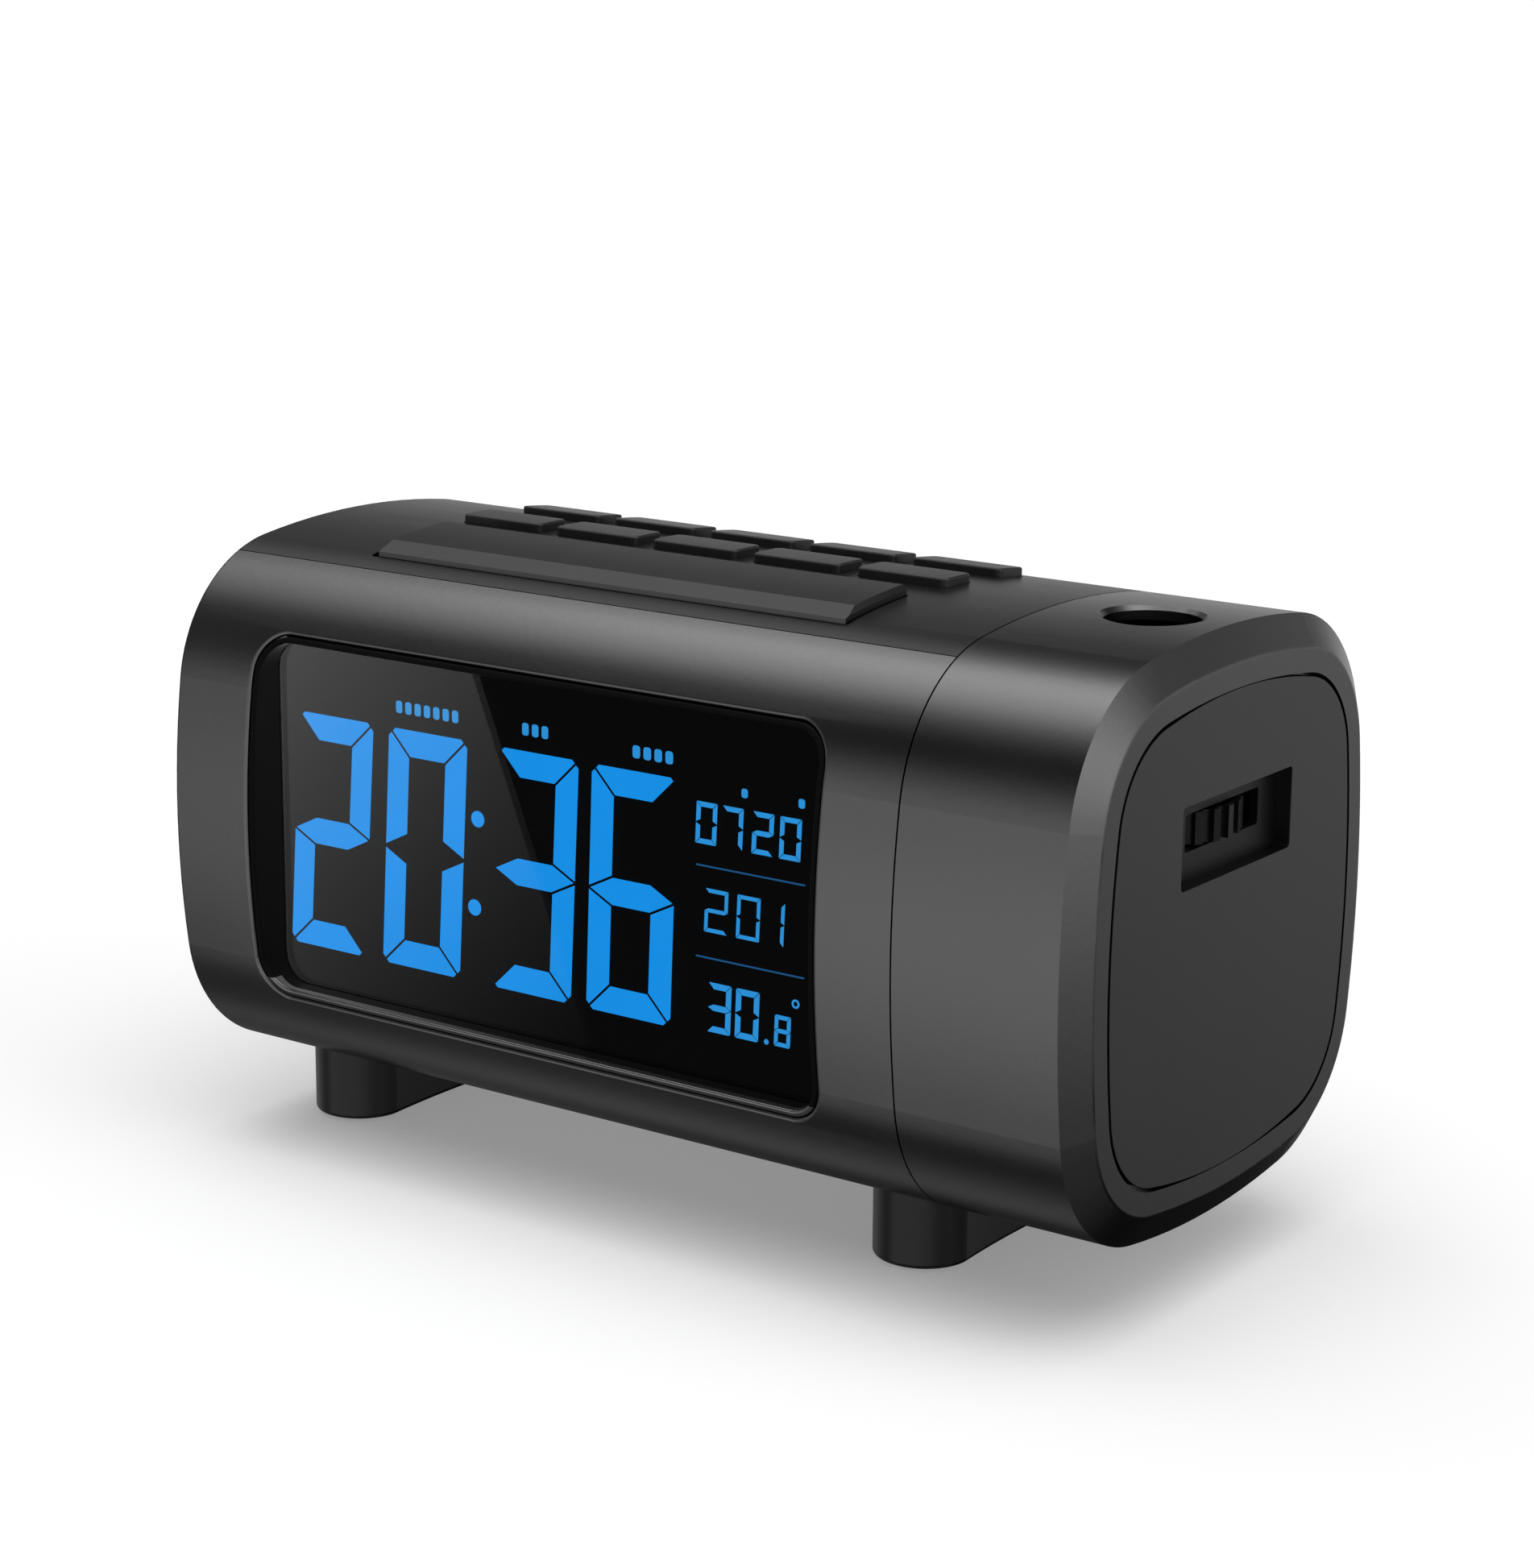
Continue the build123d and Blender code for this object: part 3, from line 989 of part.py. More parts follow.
with BuildPart() as head_shell:
    with BuildSketch(across(RIGHT - BEVEL_DEPTH)):
        BodySection()
    with BuildSketch(across(RIGHT)):
        BodySection(BEVEL_WIDTH)
    loft(ruled=True)
    fillet(head_shell.faces().sort_by(Axis.X)[-1].edges(), BEVEL_SOFT)
    with BuildSketch(across(HEAD_LEFT)):
        BodySection()
    extrude(amount=RIGHT - BEVEL_DEPTH - HEAD_LEFT)
    with BuildSketch(across(PLATE_X)):
        BodySection(WALL)
    extrude(amount=LEDGE_X - PLATE_X, mode=Mode.SUBTRACT)
    with BuildSketch(across(PLATE_X)):
        BodySection(RING_WIDTH + PANEL_LEDGE)
    extrude(amount=HEAD_LENGTH, mode=Mode.SUBTRACT)
    with BuildSketch(across(PANEL_X)):
        BodySection(RING_WIDTH)
    extrude(amount=PANEL_THICKNESS, mode=Mode.SUBTRACT)
    rod(across(HUB_END), HUB_R, PLATE_X - HUB_END)
    for y, z in FRAME_BOSSES:
        rod(Plane(origin=(PLATE_X, y, AXIS_Z + z), z_dir=(1, 0, 0)), BOSS_R, STANDOFF)
        rod(Plane(origin=(PLATE_X, y, AXIS_Z + z), z_dir=(1, 0, 0)), SCREW_R, STANDOFF, mode=Mode.SUBTRACT)
    rod(across(HUB_END), HUB_BORE_R, PLATE_X - HUB_END, mode=Mode.SUBTRACT)
    rod(level(WHEEL_LOW - SLOT_MARGIN, LENS_X), WHEEL_R + HEAD_GAP, WHEEL_HEIGHT + 2 * SLOT_MARGIN,
        mode=Mode.SUBTRACT)
    rod(level(AXIS_Z + HALF - 3 * WALL, LENS_X), LENS_HOLE_R, 3 * WALL, mode=Mode.SUBTRACT)
    with BuildSketch(level(AXIS_Z + HALF, LENS_X)):
        Circle(LENS_HOLE_R + LENS_HOLE_SINK)
    extrude(amount=-LENS_HOLE_SINK, taper=45, mode=Mode.SUBTRACT)

with BuildPart() as hub_retainer:
    rod(across(HUB_END), HUB_R + RETAINER_RIM, RETAINER)
    rod(across(HUB_END), HUB_R + FIT, RETAINER, mode=Mode.SUBTRACT)

RECESS_Z = (RECESS_LOW + RECESS_HIGH) / 2
RECESS_HEIGHT = RECESS_HIGH - RECESS_LOW
SLOT_FLOOR = HEAD_LENGTH / 2 - RECESS_DEPTH - RECESS_WALL
SLOT_WIDTH = 2 * (sqrt(WHEEL_R ** 2 - SLOT_FLOOR ** 2) + SLOT_SIDE)

with BuildPart() as head_end_panel:
    with BuildSketch(across(PANEL_X)):
        PanelSection()
    extrude(amount=PANEL_THICKNESS)
    with BuildSketch(across(RIGHT - RECESS_DEPTH - RECESS_WALL)):
        with Locations((0, RECESS_Z)):
            Rectangle(RECESS_WIDTH + 2 * RECESS_WALL, RECESS_HEIGHT + 2 * RECESS_WALL)
    extrude(amount=RECESS_DEPTH + RECESS_WALL)
    with BuildSketch(across(RIGHT - RECESS_DEPTH)):
        with Locations((0, RECESS_Z)):
            RectangleRounded(RECESS_WIDTH, RECESS_HEIGHT, RECESS_R)
    extrude(amount=RECESS_DEPTH, mode=Mode.SUBTRACT)
    with BuildSketch(across(RIGHT - RECESS_DEPTH - RECESS_WALL)):
        with Locations((0, WHEEL_Z)):
            RectangleRounded(SLOT_WIDTH, WHEEL_HEIGHT + 2 * SLOT_MARGIN, SLOT_R)
    extrude(amount=RECESS_WALL, mode=Mode.SUBTRACT)

GUIDE_R = CELL_R + GUIDE_PLAY + GUIDE_WALL
WALL_Y = WHEEL_R + WHEEL_SIDE
FRAME_LEFT = LENS_X - FRAME_X / 2
FRAME_RIGHT = LENS_X + FRAME_X / 2
ENGINE_BOTTOM = AXIS_Z + ENGINE_LOW
GATE_Z = AXIS_Z + LCD_SEAT

with BuildPart() as projector_frame:
    block((LENS_X - ENGINE / 2, -ENGINE / 2, ENGINE_BOTTOM),
          (LENS_X + ENGINE / 2, ENGINE / 2, SHELF_TOP - FRAME_WALL))
    for low in (SHELF_TOP - FRAME_WALL, GUIDE_LOW):
        block((FRAME_LEFT, -WALL_Y - FRAME_WALL, low), (FRAME_RIGHT, WALL_Y + FRAME_WALL, low + FRAME_WALL))
    for side in (-1, 1):
        low, high = sorted((side * WALL_Y, side * (WALL_Y + FRAME_WALL)))
        block((FRAME_LEFT, low, SHELF_TOP - FRAME_WALL), (FRAME_RIGHT, high, GUIDE_LOW + FRAME_WALL))
    rod(level(GUIDE_LOW, LENS_X), GUIDE_R, GUIDE_HIGH - GUIDE_LOW)
    rod(level(GUIDE_LOW, LENS_X), CELL_R + GUIDE_PLAY, GUIDE_HIGH - GUIDE_LOW, mode=Mode.SUBTRACT)
    key_half = CELL_RIB / 2 + RIB_PLAY
    key_reach = CELL_R + CELL_RIB_DEPTH + RIB_PLAY
    block((LENS_X - key_half, -key_reach, GUIDE_LOW), (LENS_X + key_half, key_reach, GUIDE_HIGH),
          mode=Mode.SUBTRACT)
    pocket_low = AXIS_Z + CELL_LOW - LENS_TRAVEL - POCKET_GAP
    rod(level(SHELF_TOP, LENS_X), CELL_R + POCKET_SIDE, pocket_low - SHELF_TOP, mode=Mode.SUBTRACT)
    block((LENS_X - GATE / 2, -GATE / 2, GATE_Z), (LENS_X + GATE / 2, GATE / 2, SHELF_TOP),
          mode=Mode.SUBTRACT)
    rod(level(ENGINE_BOTTOM, LENS_X), ENGINE_BORE_R, GATE_Z - ENGINE_BOTTOM, mode=Mode.SUBTRACT)
    for y, z in FRAME_BOSSES:
        low, high = sorted((ENGINE / 2 if y > 0 else -ENGINE / 2, y))
        ear_face = Plane(origin=(FRAME_EAR_X, y, AXIS_Z + z), z_dir=(1, 0, 0))
        block((FRAME_EAR_X, low, AXIS_Z + z - EAR_R), (FRAME_EAR_X + EAR, high, AXIS_Z + z + EAR_R))
        rod(ear_face, EAR_R, EAR)
        rod(ear_face, SCREW_R + FIT, EAR, mode=Mode.SUBTRACT)

with BuildPart() as head_screws:
    for y, z in FRAME_BOSSES:
        screw(Plane(origin=(FRAME_EAR_X + EAR, y, AXIS_Z + z), z_dir=(-1, 0, 0)), STANDOFF + EAR)

LIGHT = (5.0, 1.2, 1.8)     # light-emitting chip: side, height, radius of its dome

with BuildPart() as projector_board:
    block((LENS_X - ENGINE / 2, -ENGINE / 2, ENGINE_BOTTOM - BOARD),
          (LENS_X + ENGINE / 2, ENGINE / 2, ENGINE_BOTTOM))
    block((LENS_X - LIGHT[0] / 2, -LIGHT[0] / 2, ENGINE_BOTTOM),
          (LENS_X + LIGHT[0] / 2, LIGHT[0] / 2, ENGINE_BOTTOM + LIGHT[1]))
    with Locations((LENS_X, 0, ENGINE_BOTTOM + LIGHT[1])):
        Sphere(LIGHT[2])

SINK_TOP = ENGINE_BOTTOM - BOARD

with BuildPart() as heat_sink:
    block((LENS_X - SINK / 2, -SINK / 2, SINK_TOP - SINK_BASE), (LENS_X + SINK / 2, SINK / 2, SINK_TOP))
    for fin in range(SINK_FINS):
        x = LENS_X - SINK / 2 + fin * (SINK - FIN) / (SINK_FINS - 1)
        block((x, -SINK / 2, SINK_TOP - SINK_BASE - FIN_HEIGHT), (x + FIN, SINK / 2, SINK_TOP - SINK_BASE))

CONDENSER_LOW = ENGINE_BOTTOM + CONDENSER_UP
OPTIC_R = ENGINE_BORE_R - FIT


def dome_radius(radius, dome):
    """Radius of the sphere whose cap of this radius is dome high."""
    return (radius ** 2 + dome ** 2) / (2 * dome)


def dome_lens(z, radius, edge, dome):
    """Plano-convex lens on the optical axis: flat below, domed above."""
    sphere_r = dome_radius(radius, dome)
    rod(level(z, LENS_X), radius, edge + dome)
    with Locations((LENS_X, 0, z + edge + dome - sphere_r)):
        Sphere(sphere_r, mode=Mode.INTERSECT)


with BuildPart() as condenser_lens:
    dome_lens(CONDENSER_LOW, OPTIC_R - FIT, CONDENSER_EDGE, CONDENSER_DOME)

SPACER_BORE_R = OPTIC_R - SPACER_WALL
CONDENSER_SPHERE = dome_radius(OPTIC_R - FIT, CONDENSER_DOME)
SPACER_SEAT = sqrt(CONDENSER_SPHERE ** 2 - SPACER_BORE_R ** 2) - CONDENSER_SPHERE + CONDENSER_DOME

with BuildPart() as projection_lcd:
    block((LENS_X - LCD_SIDE / 2, -LCD_SIDE / 2, GATE_Z - LCD_THICKNESS),
          (LENS_X + LCD_SIDE / 2, LCD_SIDE / 2, GATE_Z))

with BuildPart() as lens_spacers:
    for low, high in ((ENGINE_BOTTOM, CONDENSER_LOW),
                      (CONDENSER_LOW + CONDENSER_EDGE + SPACER_SEAT, GATE_Z - LCD_THICKNESS)):
        rod(level(low, LENS_X), OPTIC_R, high - low)
        rod(level(low, LENS_X), SPACER_BORE_R, high - low, mode=Mode.SUBTRACT)

with BuildPart() as focus_wheel:
    rod(level(WHEEL_LOW, LENS_X), WHEEL_R - RIB_DEPTH, WHEEL_HEIGHT)
    with BuildSketch(level(WHEEL_LOW, LENS_X)):
        with PolarLocations(WHEEL_R - RIB_DEPTH, WHEEL_RIBS):
            Rectangle(2 * RIB_DEPTH, RIB_WIDTH)
    extrude(amount=WHEEL_HEIGHT)
    rod(level(WHEEL_LOW - WHEEL_HUB_STEP, LENS_X), WHEEL_HUB_R, WHEEL_HEIGHT + 2 * WHEEL_HUB_STEP)
    rod(level(WHEEL_LOW - WHEEL_HUB_STEP, LENS_X), CELL_R + THREAD_PLAY, WHEEL_HEIGHT + 2 * WHEEL_HUB_STEP,
        mode=Mode.SUBTRACT)

with BuildPart() as lens_cell:
    rod(level(AXIS_Z + CELL_LOW, LENS_X), CELL_R, CELL_HIGH - CELL_LOW)
    for side in (-1, 1):
        low, high = sorted((side * CELL_BORE_R, side * (CELL_R + CELL_RIB_DEPTH)))
        block((LENS_X - CELL_RIB / 2, low, GUIDE_LOW + LENS_TRAVEL + RIB_END),
              (LENS_X + CELL_RIB / 2, high, GUIDE_HIGH - RIB_END))
    rod(level(AXIS_Z + CELL_LOW, LENS_X), CELL_BORE_R, CELL_HIGH - CELL_LOW, mode=Mode.SUBTRACT)

with BuildPart() as projection_lens:
    lens_low = AXIS_Z + CELL_HIGH - LENS_SUNK - FRONT_DOME - LENS_EDGE
    dome_lens(lens_low, CELL_BORE_R - FIT / 2, LENS_EDGE, FRONT_DOME)

with BuildPart() as rear_lens:
    dome_lens(AXIS_Z + CELL_LOW + LENS_SUNK, CELL_BORE_R - FIT / 2, LENS_EDGE, REAR_DOME)

PLUG_X = HUB_END - PLUG_OUT

with BuildPart() as head_cable:
    rod(across(PLUG_X), CABLE_R, LENS_X - ENGINE / 2 - PLUG_X)
    with BuildSketch(across(PLUG_X)):
        RectangleRounded(PLUG[1], PLUG[1], PLUG[2])
    extrude(amount=PLUG[0])

CABLE_ROUTE = [(PLUG_X - 25.0, BOARD_BACK), (PLUG_X - 25.0, -15.0), (PLUG_X - 17.0, -3.0),
               (PLUG_X - 9.0, 0.0), (PLUG_X - HEAD_GAP, 0.0)]

with BuildPart() as body_cable:
    with BuildLine(Plane.XY.offset(AXIS_Z)):
        cable_path = FilletPolyline(*CABLE_ROUTE, radius=CABLE_BEND_R)
    with BuildSketch(Plane(origin=cable_path @ 0, z_dir=cable_path % 0)):
        Circle(CABLE_R)
    sweep()

# ------------------------------------------------------------------ export

pieces = {
    "front_shell": front_shell, "rear_shell": rear_shell, "top_cover": top_cover,
    "left_end_cap": left_end_cap, "display_bezel": display_bezel, "display_window": display_window,
    "lcd_glass": lcd_glass, "lcd_frame": lcd_frame, "zebra_strips": zebra_strips,
    "light_guide": light_guide, "led_strip": led_strip, "main_board": main_board, "key_board": key_board,
    "key_switches": key_switches, "snooze_bar": snooze_bar, "ribbon_cable": ribbon_cable,
    "speaker": speaker, "speaker_cone": speaker_cone, "speaker_clamp": speaker_clamp,
    "io_board": io_board, "dc_inlet": dc_inlet, "usb_port": usb_port, "battery_box": battery_box,
    "battery_contacts": battery_contacts, "battery_door": battery_door, "foot_left": foot_left,
    "foot_right": foot_right, "foot_pads": foot_pads, "foot_screws": foot_screws,
    "shell_screws": shell_screws, "board_screws": board_screws, "bearing_bulkhead": bearing_bulkhead,
    "friction_spring": friction_spring, "body_cable": body_cable, "head_shell": head_shell,
    "head_end_panel": head_end_panel, "hub_retainer": hub_retainer, "projector_frame": projector_frame,
    "head_screws": head_screws, "projector_board": projector_board, "heat_sink": heat_sink,
    "condenser_lens": condenser_lens, "projection_lcd": projection_lcd, "lens_spacers": lens_spacers,
    "head_cable": head_cable, "focus_wheel": focus_wheel, "lens_cell": lens_cell,
    "projection_lens": projection_lens, "rear_lens": rear_lens,
    **keys,
}

for name, piece in pieces.items():
    piece.part.label = name
    export_step(piece.part, f"parts/{name}.step")
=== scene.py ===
import json
import math

import bpy
from mathutils import Matrix, Vector


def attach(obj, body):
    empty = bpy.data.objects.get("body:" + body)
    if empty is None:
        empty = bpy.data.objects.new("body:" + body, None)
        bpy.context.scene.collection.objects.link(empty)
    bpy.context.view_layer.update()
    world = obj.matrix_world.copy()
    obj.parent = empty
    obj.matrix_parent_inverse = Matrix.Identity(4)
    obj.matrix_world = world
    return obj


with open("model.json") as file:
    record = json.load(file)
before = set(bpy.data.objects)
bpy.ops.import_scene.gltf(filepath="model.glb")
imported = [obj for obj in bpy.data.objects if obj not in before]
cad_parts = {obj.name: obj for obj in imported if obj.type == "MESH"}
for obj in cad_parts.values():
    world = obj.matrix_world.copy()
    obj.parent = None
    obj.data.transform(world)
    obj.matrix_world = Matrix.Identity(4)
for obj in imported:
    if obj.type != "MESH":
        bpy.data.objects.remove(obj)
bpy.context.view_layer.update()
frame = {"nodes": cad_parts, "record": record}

MM = 0.001

# ------------------------------------------------------------------ camera

CAMERA_PLACE = (0.348862, -0.482887, 0.216069)
CAMERA_AXES = ((0.811515, 0.584282, 0.007649),      # right, up and back of the view
               (-0.145480, 0.189346, 0.971074),
               (0.565932, -0.789153, 0.238658))
SENSOR_WIDTH = 36.0
FOCAL_LENGTH = 82.84
CLIP_NEAR = 0.01
CLIP_FAR = 100.0

camera_data = bpy.data.cameras.new("studio_camera")
camera_data.sensor_width = SENSOR_WIDTH
camera_data.lens = FOCAL_LENGTH
camera_data.clip_start = CLIP_NEAR
camera_data.clip_end = CLIP_FAR
camera = bpy.data.objects.new("studio_camera", camera_data)
bpy.context.scene.collection.objects.link(camera)
camera.matrix_world = (Matrix.Translation(CAMERA_PLACE)
                       @ Matrix(CAMERA_AXES).transposed().to_4x4())
bpy.context.scene.camera = camera
bpy.context.scene.view_settings.view_transform = "Standard"

# ------------------------------------------------------------ node writing


class Wire:
    """A socket of a node tree. Arithmetic on it adds Math nodes."""

    def __init__(self, graph, socket):
        self.graph, self.socket = graph, socket

    def _math(self, operation, *values):
        return self.graph.add("Math", {"operation": operation}, dict(enumerate(values)))

    def __add__(self, other): return self._math("ADD", self, other)
    def __radd__(self, other): return self._math("ADD", other, self)
    def __sub__(self, other): return self._math("SUBTRACT", self, other)
    def __rsub__(self, other): return self._math("SUBTRACT", other, self)
    def __mul__(self, other): return self._math("MULTIPLY", self, other)
    def __rmul__(self, other): return self._math("MULTIPLY", other, self)
    def __truediv__(self, other): return self._math("DIVIDE", self, other)
    def __rtruediv__(self, other): return self._math("DIVIDE", other, self)
    def __gt__(self, other): return self._math("GREATER_THAN", self, other)
    def __lt__(self, other): return self._math("LESS_THAN", self, other)
    def __pow__(self, other): return self._math("POWER", self, other)
    def __abs__(self): return self._math("ABSOLUTE", self)
    def frac(self): return self._math("FRACT", self)
    def angle(self, other): return self._math("ARCTAN2", self, other)

    def clamp(self, low, high):
        return self._math("MAXIMUM", self._math("MINIMUM", self, high), low)


class Graph:
    """A node tree that is being written."""

    def __init__(self, tree):
        self.tree = tree
        tree.nodes.clear()

    def add(self, kind, settings=None, sockets=None, out=0):
        """A new node: its settings first, then the values or wires of its sockets."""
        node = self.tree.nodes.new("ShaderNode" + kind)
        for name, value in (settings or {}).items():
            if name == "stops":
                self.fill_ramp(node.color_ramp, value)
            else:
                setattr(node, name, value)
        for name, value in (sockets or {}).items():
            if isinstance(value, Wire):
                self.tree.links.new(value.socket, node.inputs[name])
            else:
                node.inputs[name].default_value = value
        return Wire(self, node.outputs[out]) if node.outputs else node

    @staticmethod
    def fill_ramp(ramp, stops):
        while len(ramp.elements) > 1:
            ramp.elements.remove(ramp.elements[-1])
        for index, (place, value) in enumerate(stops):
            stop = ramp.elements[0] if index == 0 else ramp.elements.new(place)
            stop.position = place
            stop.color = grey(value)

    def mix(self, first, second, factor):
        """Colour between two colours."""
        return self.add("Mix", {"data_type": "RGBA"}, {0: factor, 6: first, 7: second}, 2)

    def coords(self):
        return self.add("TexCoord", None, None, "Object")

    def axis(self, vector, name):
        return self.add("SeparateXYZ", None, {"Vector": vector}, name)

    def noise(self, size, detail=2.0, stretch=None):
        """Noise whose features are about this size in metres."""
        vector = self.coords()
        if stretch:
            vector = self.add("Mapping", None, {"Vector": vector, "Scale": stretch})
        return self.add("TexNoise", None,
                        {"Vector": vector, "Scale": 1.0 / size, "Detail": detail}, "Fac")

    def bump(self, height, depth):
        """Normal from a height between 0 and 1, depth in metres."""
        return self.add("Bump", None,
                        {"Height": height, "Distance": depth, "Strength": 1.0}, "Normal")


def grey(value):
    return (value, value, value, 1.0)


def shade(colour, factor):
    return tuple(c * factor for c in colour[:3]) + (1.0,)


def mottled(graph, colour, darkest, palest, pattern):
    """The colour, between two factors of it, by a pattern from 0 to 1."""
    return graph.mix(shade(colour, darkest), shade(colour, palest), pattern)


def around(level, *swings):
    """A level that patterns from 0 to 1 move up and down, each by its own swing."""
    for swing, pattern in swings:
        level = level + swing * (pattern - 0.5)
    return level


def new_material(name):
    """Material with an empty node tree, and the graph that writes in it."""
    material = bpy.data.materials.new(name)
    material.use_nodes = True
    return material, Graph(material.node_tree)


def new_finish(name, write):
    """Material whose Principled BSDF gets the sockets that write(graph) returns."""
    material, graph = new_material(name)
    shader = graph.add("BsdfPrincipled", None, write(graph))
    graph.add("OutputMaterial", None, {"Surface": shader})
    return material


# --------------------------------------------------------------- finishes

PAINT_FLAKE = 0.35 * MM
PAINT_CLOUD = 22 * MM
PEEL_SIZE, PEEL_DEPTH = 1.4 * MM, 0.010 * MM
MOULD_GRAIN, MOULD_DEPTH = 0.45 * MM, 0.02 * MM
MOULD_CLOUD = 15 * MM
METAL_LINE, METAL_LINE_DEPTH = 0.18 * MM, 0.004 * MM
TRACK_PITCH, TRACK_DEPTH = 1.27 * MM, 0.03 * MM
TRACK_HALF, PAD_HALF = 0.16, 0.22           # half widths, in parts of the pitch
ELECTRODE_PITCH, ELECTRODE_WIDTH = 2.6 * MM, 0.05
BEZEL_DEPTH = 0.01 * MM
# the bezel's lip in front of and below these bounds is painted pale as a highlight
PAINTED_LIP_FRONT, PAINTED_LIP_TOP = -42.9 * MM, 33.2 * MM
RECESS_MOUTH = 92.3 * MM                    # from here inwards the end panel is recess
DUST_SIZE, DUST_DEPTH = 0.25 * MM, 0.03 * MM
FIBRE_SIZE, FIBRE_DEPTH = 0.5 * MM, 0.06 * MM

MASK_GREEN = (0.010, 0.085, 0.030, 1)
TRACK_GREEN = (0.022, 0.150, 0.050, 1)
TINNED = (0.62, 0.60, 0.55, 1)


def satin_paint(graph, colour, roughness):
    """Sprayed metallic paint: fine flakes, a slight orange peel and uneven gloss."""
    flakes = graph.noise(PAINT_FLAKE, 3.0)
    cloud = graph.noise(PAINT_CLOUD)
    return {"Base Color": mottled(graph, colour, 0.86, 1.14, 0.65 * flakes + 0.35 * cloud),
            "Metallic": 1.0,
            "Roughness": around(roughness, (0.05, cloud), (0.06, flakes)),
            "Normal": graph.bump(graph.noise(PEEL_SIZE, 1.0), PEEL_DEPTH)}


def moulded_plastic(graph, colour, roughness, depth=MOULD_DEPTH, specular=0.5):
    """Plastic from a lightly spark-eroded mould."""
    pits = graph.noise(MOULD_GRAIN, 4.0)
    cloud = graph.noise(MOULD_CLOUD)
    return {"Base Color": mottled(graph, colour, 0.88, 1.12, 0.5 * pits + 0.5 * cloud),
            "Roughness": around(roughness, (0.10, pits), (0.05, cloud)),
            "Specular IOR Level": specular,
            "Normal": graph.bump(pits, depth)}


def drawn_metal(graph, colour, roughness, stretch=(0.04, 1.0, 1.0)):
    """Metal with fine lines along the direction in which the pattern is stretched."""
    lines = graph.noise(METAL_LINE, 3.0, stretch)
    return {"Base Color": mottled(graph, colour, 0.82, 1.08, lines),
            "Metallic": 1.0,
            "Roughness": around(roughness, (0.15, lines)),
            "Normal": graph.bump(lines, METAL_LINE_DEPTH)}


def circuit_board(graph):
    """Green solder mask over copper tracks on a fine grid, with tinned pads."""
    coords = graph.coords()
    across = (graph.axis(coords, "X") / TRACK_PITCH).frac()
    along = (graph.axis(coords, "Z") / TRACK_PITCH + graph.axis(coords, "Y") / TRACK_PITCH).frac()
    off_across, off_along = abs(across - 0.5), abs(along - 0.5)
    routed = graph.noise(9 * MM, 1.0) > 0.5
    track = (off_across < TRACK_HALF) * routed + (off_along < TRACK_HALF) * (1 - routed)
    soldered = graph.noise(3 * MM, 1.0) > 0.62
    pad = (off_across < PAD_HALF) * (off_along < PAD_HALF) * soldered
    return {"Base Color": graph.mix(graph.mix(MASK_GREEN, TRACK_GREEN, track), TINNED, pad),
            "Roughness": 0.34 + 0.05 * graph.noise(4 * MM),
            "Metallic": pad,
            "Normal": graph.bump(track, TRACK_DEPTH)}


def smoked_glass(graph):
    """Clear dark plastic of the display window."""
    smear = graph.noise(18 * MM)
    return {"Base Color": graph.mix(grey(0.50), grey(0.56), smear),
            "Roughness": 0.0, "Transmission Weight": 1.0, "IOR": 1.49}


def display_glass(graph):
    """Dark liquid-crystal cell with the faint lines of its electrodes."""
    place = (graph.axis(graph.coords(), "X") / ELECTRODE_PITCH).frac()
    tone = (place < ELECTRODE_WIDTH) * 0.5 + 0.4 * graph.noise(12 * MM)
    return {"Base Color": graph.mix(grey(0.010), grey(0.014), tone),
            "Roughness": 0.30 + 0.06 * graph.noise(8 * MM), "Specular IOR Level": 0.03}


def bezel_plastic(graph):
    """Deep black plastic whose front lip along the bottom carries a painted highlight, pale grey
    and metallic.
    """
    coords = graph.coords()
    painted_lip_highlight = ((graph.axis(coords, "Y") < PAINTED_LIP_FRONT)
           * (graph.axis(coords, "Z") < PAINTED_LIP_TOP))
    pits = graph.noise(MOULD_GRAIN, 4.0)
    black = graph.mix(grey(0.0015), grey(0.003), pits)
    # painted highlight: the lip is pale grey metal instead of black
    return {"Base Color": graph.mix(black, grey(0.20), painted_lip_highlight),
            "Metallic": painted_lip_highlight, "Specular IOR Level": 0.05,
            "Roughness": around(0.48, (0.08, pits)) - 0.2 * painted_lip_highlight,
            "Normal": graph.bump(pits, BEZEL_DEPTH)}


def end_paint(graph):
    """Paint of the end panels, with painted shade darkening the walls of the recess."""
    sockets = satin_paint(graph, (0.088, 0.088, 0.092), 0.40)
    # painted shade: the recess walls inside the mouth get a darker base colour
    inside = abs(graph.axis(graph.coords(), "X")) < RECESS_MOUTH
    sockets["Base Color"] = graph.mix(sockets["Base Color"], grey(0.035), inside)
    return sockets


def coated_lens(graph):
    """Glass with the bluish bloom of its coating."""
    bloom = graph.noise(5 * MM, 1.0)
    return {"Base Color": graph.mix((0.55, 0.72, 0.98, 1), (0.70, 0.80, 1.0, 1), bloom),
            "Roughness": 0.01 + 0.02 * bloom,
            "Transmission Weight": 0.92, "IOR": 1.52}


def rubber(graph, colour=(0.03, 0.03, 0.03), roughness=0.7):
    """Rubber with dust in its pores."""
    dust = graph.noise(DUST_SIZE, 4.0)
    return {"Base Color": mottled(graph, colour, 0.8, 1.35, dust),
            "Roughness": around(roughness, (0.12, dust)), "Specular IOR Level": 0.35,
            "Normal": graph.bump(dust, DUST_DEPTH)}


def pressed_paper(graph):
    """Fibrous paper of the loudspeaker cone."""
    fibres = graph.noise(FIBRE_SIZE, 5.0, (1.0, 0.3, 1.0))
    return {"Base Color": graph.mix(grey(0.012), grey(0.030), fibres), "Roughness": 0.85,
            "Normal": graph.bump(fibres, FIBRE_DEPTH)}


